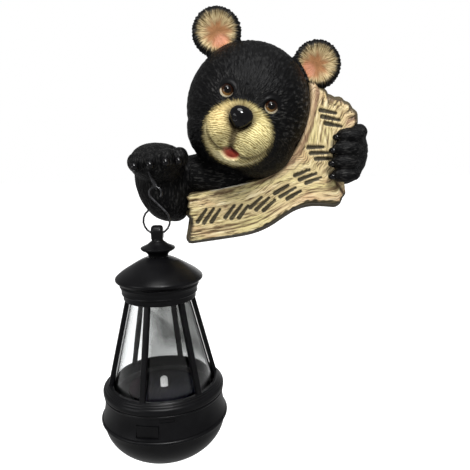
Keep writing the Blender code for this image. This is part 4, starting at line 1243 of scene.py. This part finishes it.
def main():
    """Every visible piece. Wire, hatch and switch are the frame's own solids with a new material."""
    bear(painted_resin())
    board(painted_wood())
    claws_and_nose(gloss_paint())
    glass = eye_glass()
    for name in EYES:
        eye(name, glass)
    steel, fittings = wire_steel(), moulded_plastic("fitted_plastic", 0.8, 0.36)
    for name, material in (("paw_eye", steel), ("s_hook", steel), ("battery_hatch", fittings),
                           ("switch_slider", fittings)):
        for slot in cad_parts[name].material_slots:
            slot.material = material
    plastic = moulded_plastic()
    finial(plastic)
    roof(plastic)
    cage(plastic)
    glazing(clear_plastic())
    housing(plastic)
    bowl(plastic)
    lamp(led_lens(), cell_glass())


def area_light(name, place, target, size, power):
    """A round light that looks at its target. Metres and watts."""
    data = bpy.data.lights.new(name, "AREA")
    data.shape = "DISK"
    data.size = size
    data.energy = power
    light = add_object(name, data)
    light.location = place
    light.rotation_euler = (Vector(target) - Vector(place)).to_track_quat("-Z", "Y").to_euler()


def studio():
    """A white floor and world that light the scene less than they show, and four lights."""
    half, z = 8.0, -0.60
    mesh = bpy.data.meshes.new("floor")
    mesh.from_pydata([(-half, -half, z), (half, -half, z), (half, half, z), (-half, half, z)], [],
                     [(0, 1, 2, 3)])
    floor = add_object("floor", mesh)
    m = Material("pale_floor", Roughness=0.9, Emission_Color=(1, 1, 1, 1))
    sight = m.plain_sight()
    paper = m.ramp(m.noise(m.where, 2.0, 2), [(0.0, (0.96, 0.96, 0.96)), (1.0, (0.99, 0.99, 0.99))])
    mesh.materials.append(m.done(Base_Color=m.tint((0.35, 0.35, 0.35, 1), paper, sight),
                                 Emission_Strength=m.spread(sight, 0.0, 0.45)))

    world = bpy.data.worlds.new("studio")
    world.use_nodes = True
    sky = Tree(world.node_tree)
    background = world.node_tree.nodes["Background"].inputs
    background["Color"].default_value = (1, 1, 1, 1)
    world.node_tree.links.new(sky.spread(sky.plain_sight(), 0.3, 1.0), background["Strength"])
    bpy.context.scene.world = world

    area_light("key", (0.16, -0.80, 0.62), (0.0, -0.03, -0.06), 0.22, 9.0)
    area_light("fill", (-0.75, -0.6, 0.1), (0.0, -0.03, -0.08), 0.5, 2.0)
    area_light("rear", (0.0, 1.0, -0.12), (0.0, 0.0, -0.08), 0.9, 2.2)
    sun = bpy.data.lights.new("overhead", "SUN")
    sun.energy = 1.9
    sun.angle = math.radians(30)
    add_object("overhead", sun).rotation_euler = (math.radians(24), 0, 0)


def camera():
    """The photo's view, looking down by 10.1 degrees. Its focal length is 500 pixels, its width 470."""
    data = bpy.data.cameras.new("camera")
    data.sensor_width = 36
    data.lens = 36 * 500 / 470
    data.clip_start = 0.01
    made = add_object("camera", data)
    made.location = (0.00097, -0.372, -0.03973)
    turn = Euler((math.radians(90 - 10.1), 0, 0)).to_matrix() @ Matrix.Rotation(math.radians(-1.12), 3, "Z")
    made.rotation_euler = turn.to_euler()
    bpy.context.scene.camera = made


main()
studio()
camera()
bpy.context.scene.view_settings.view_transform = "Standard"
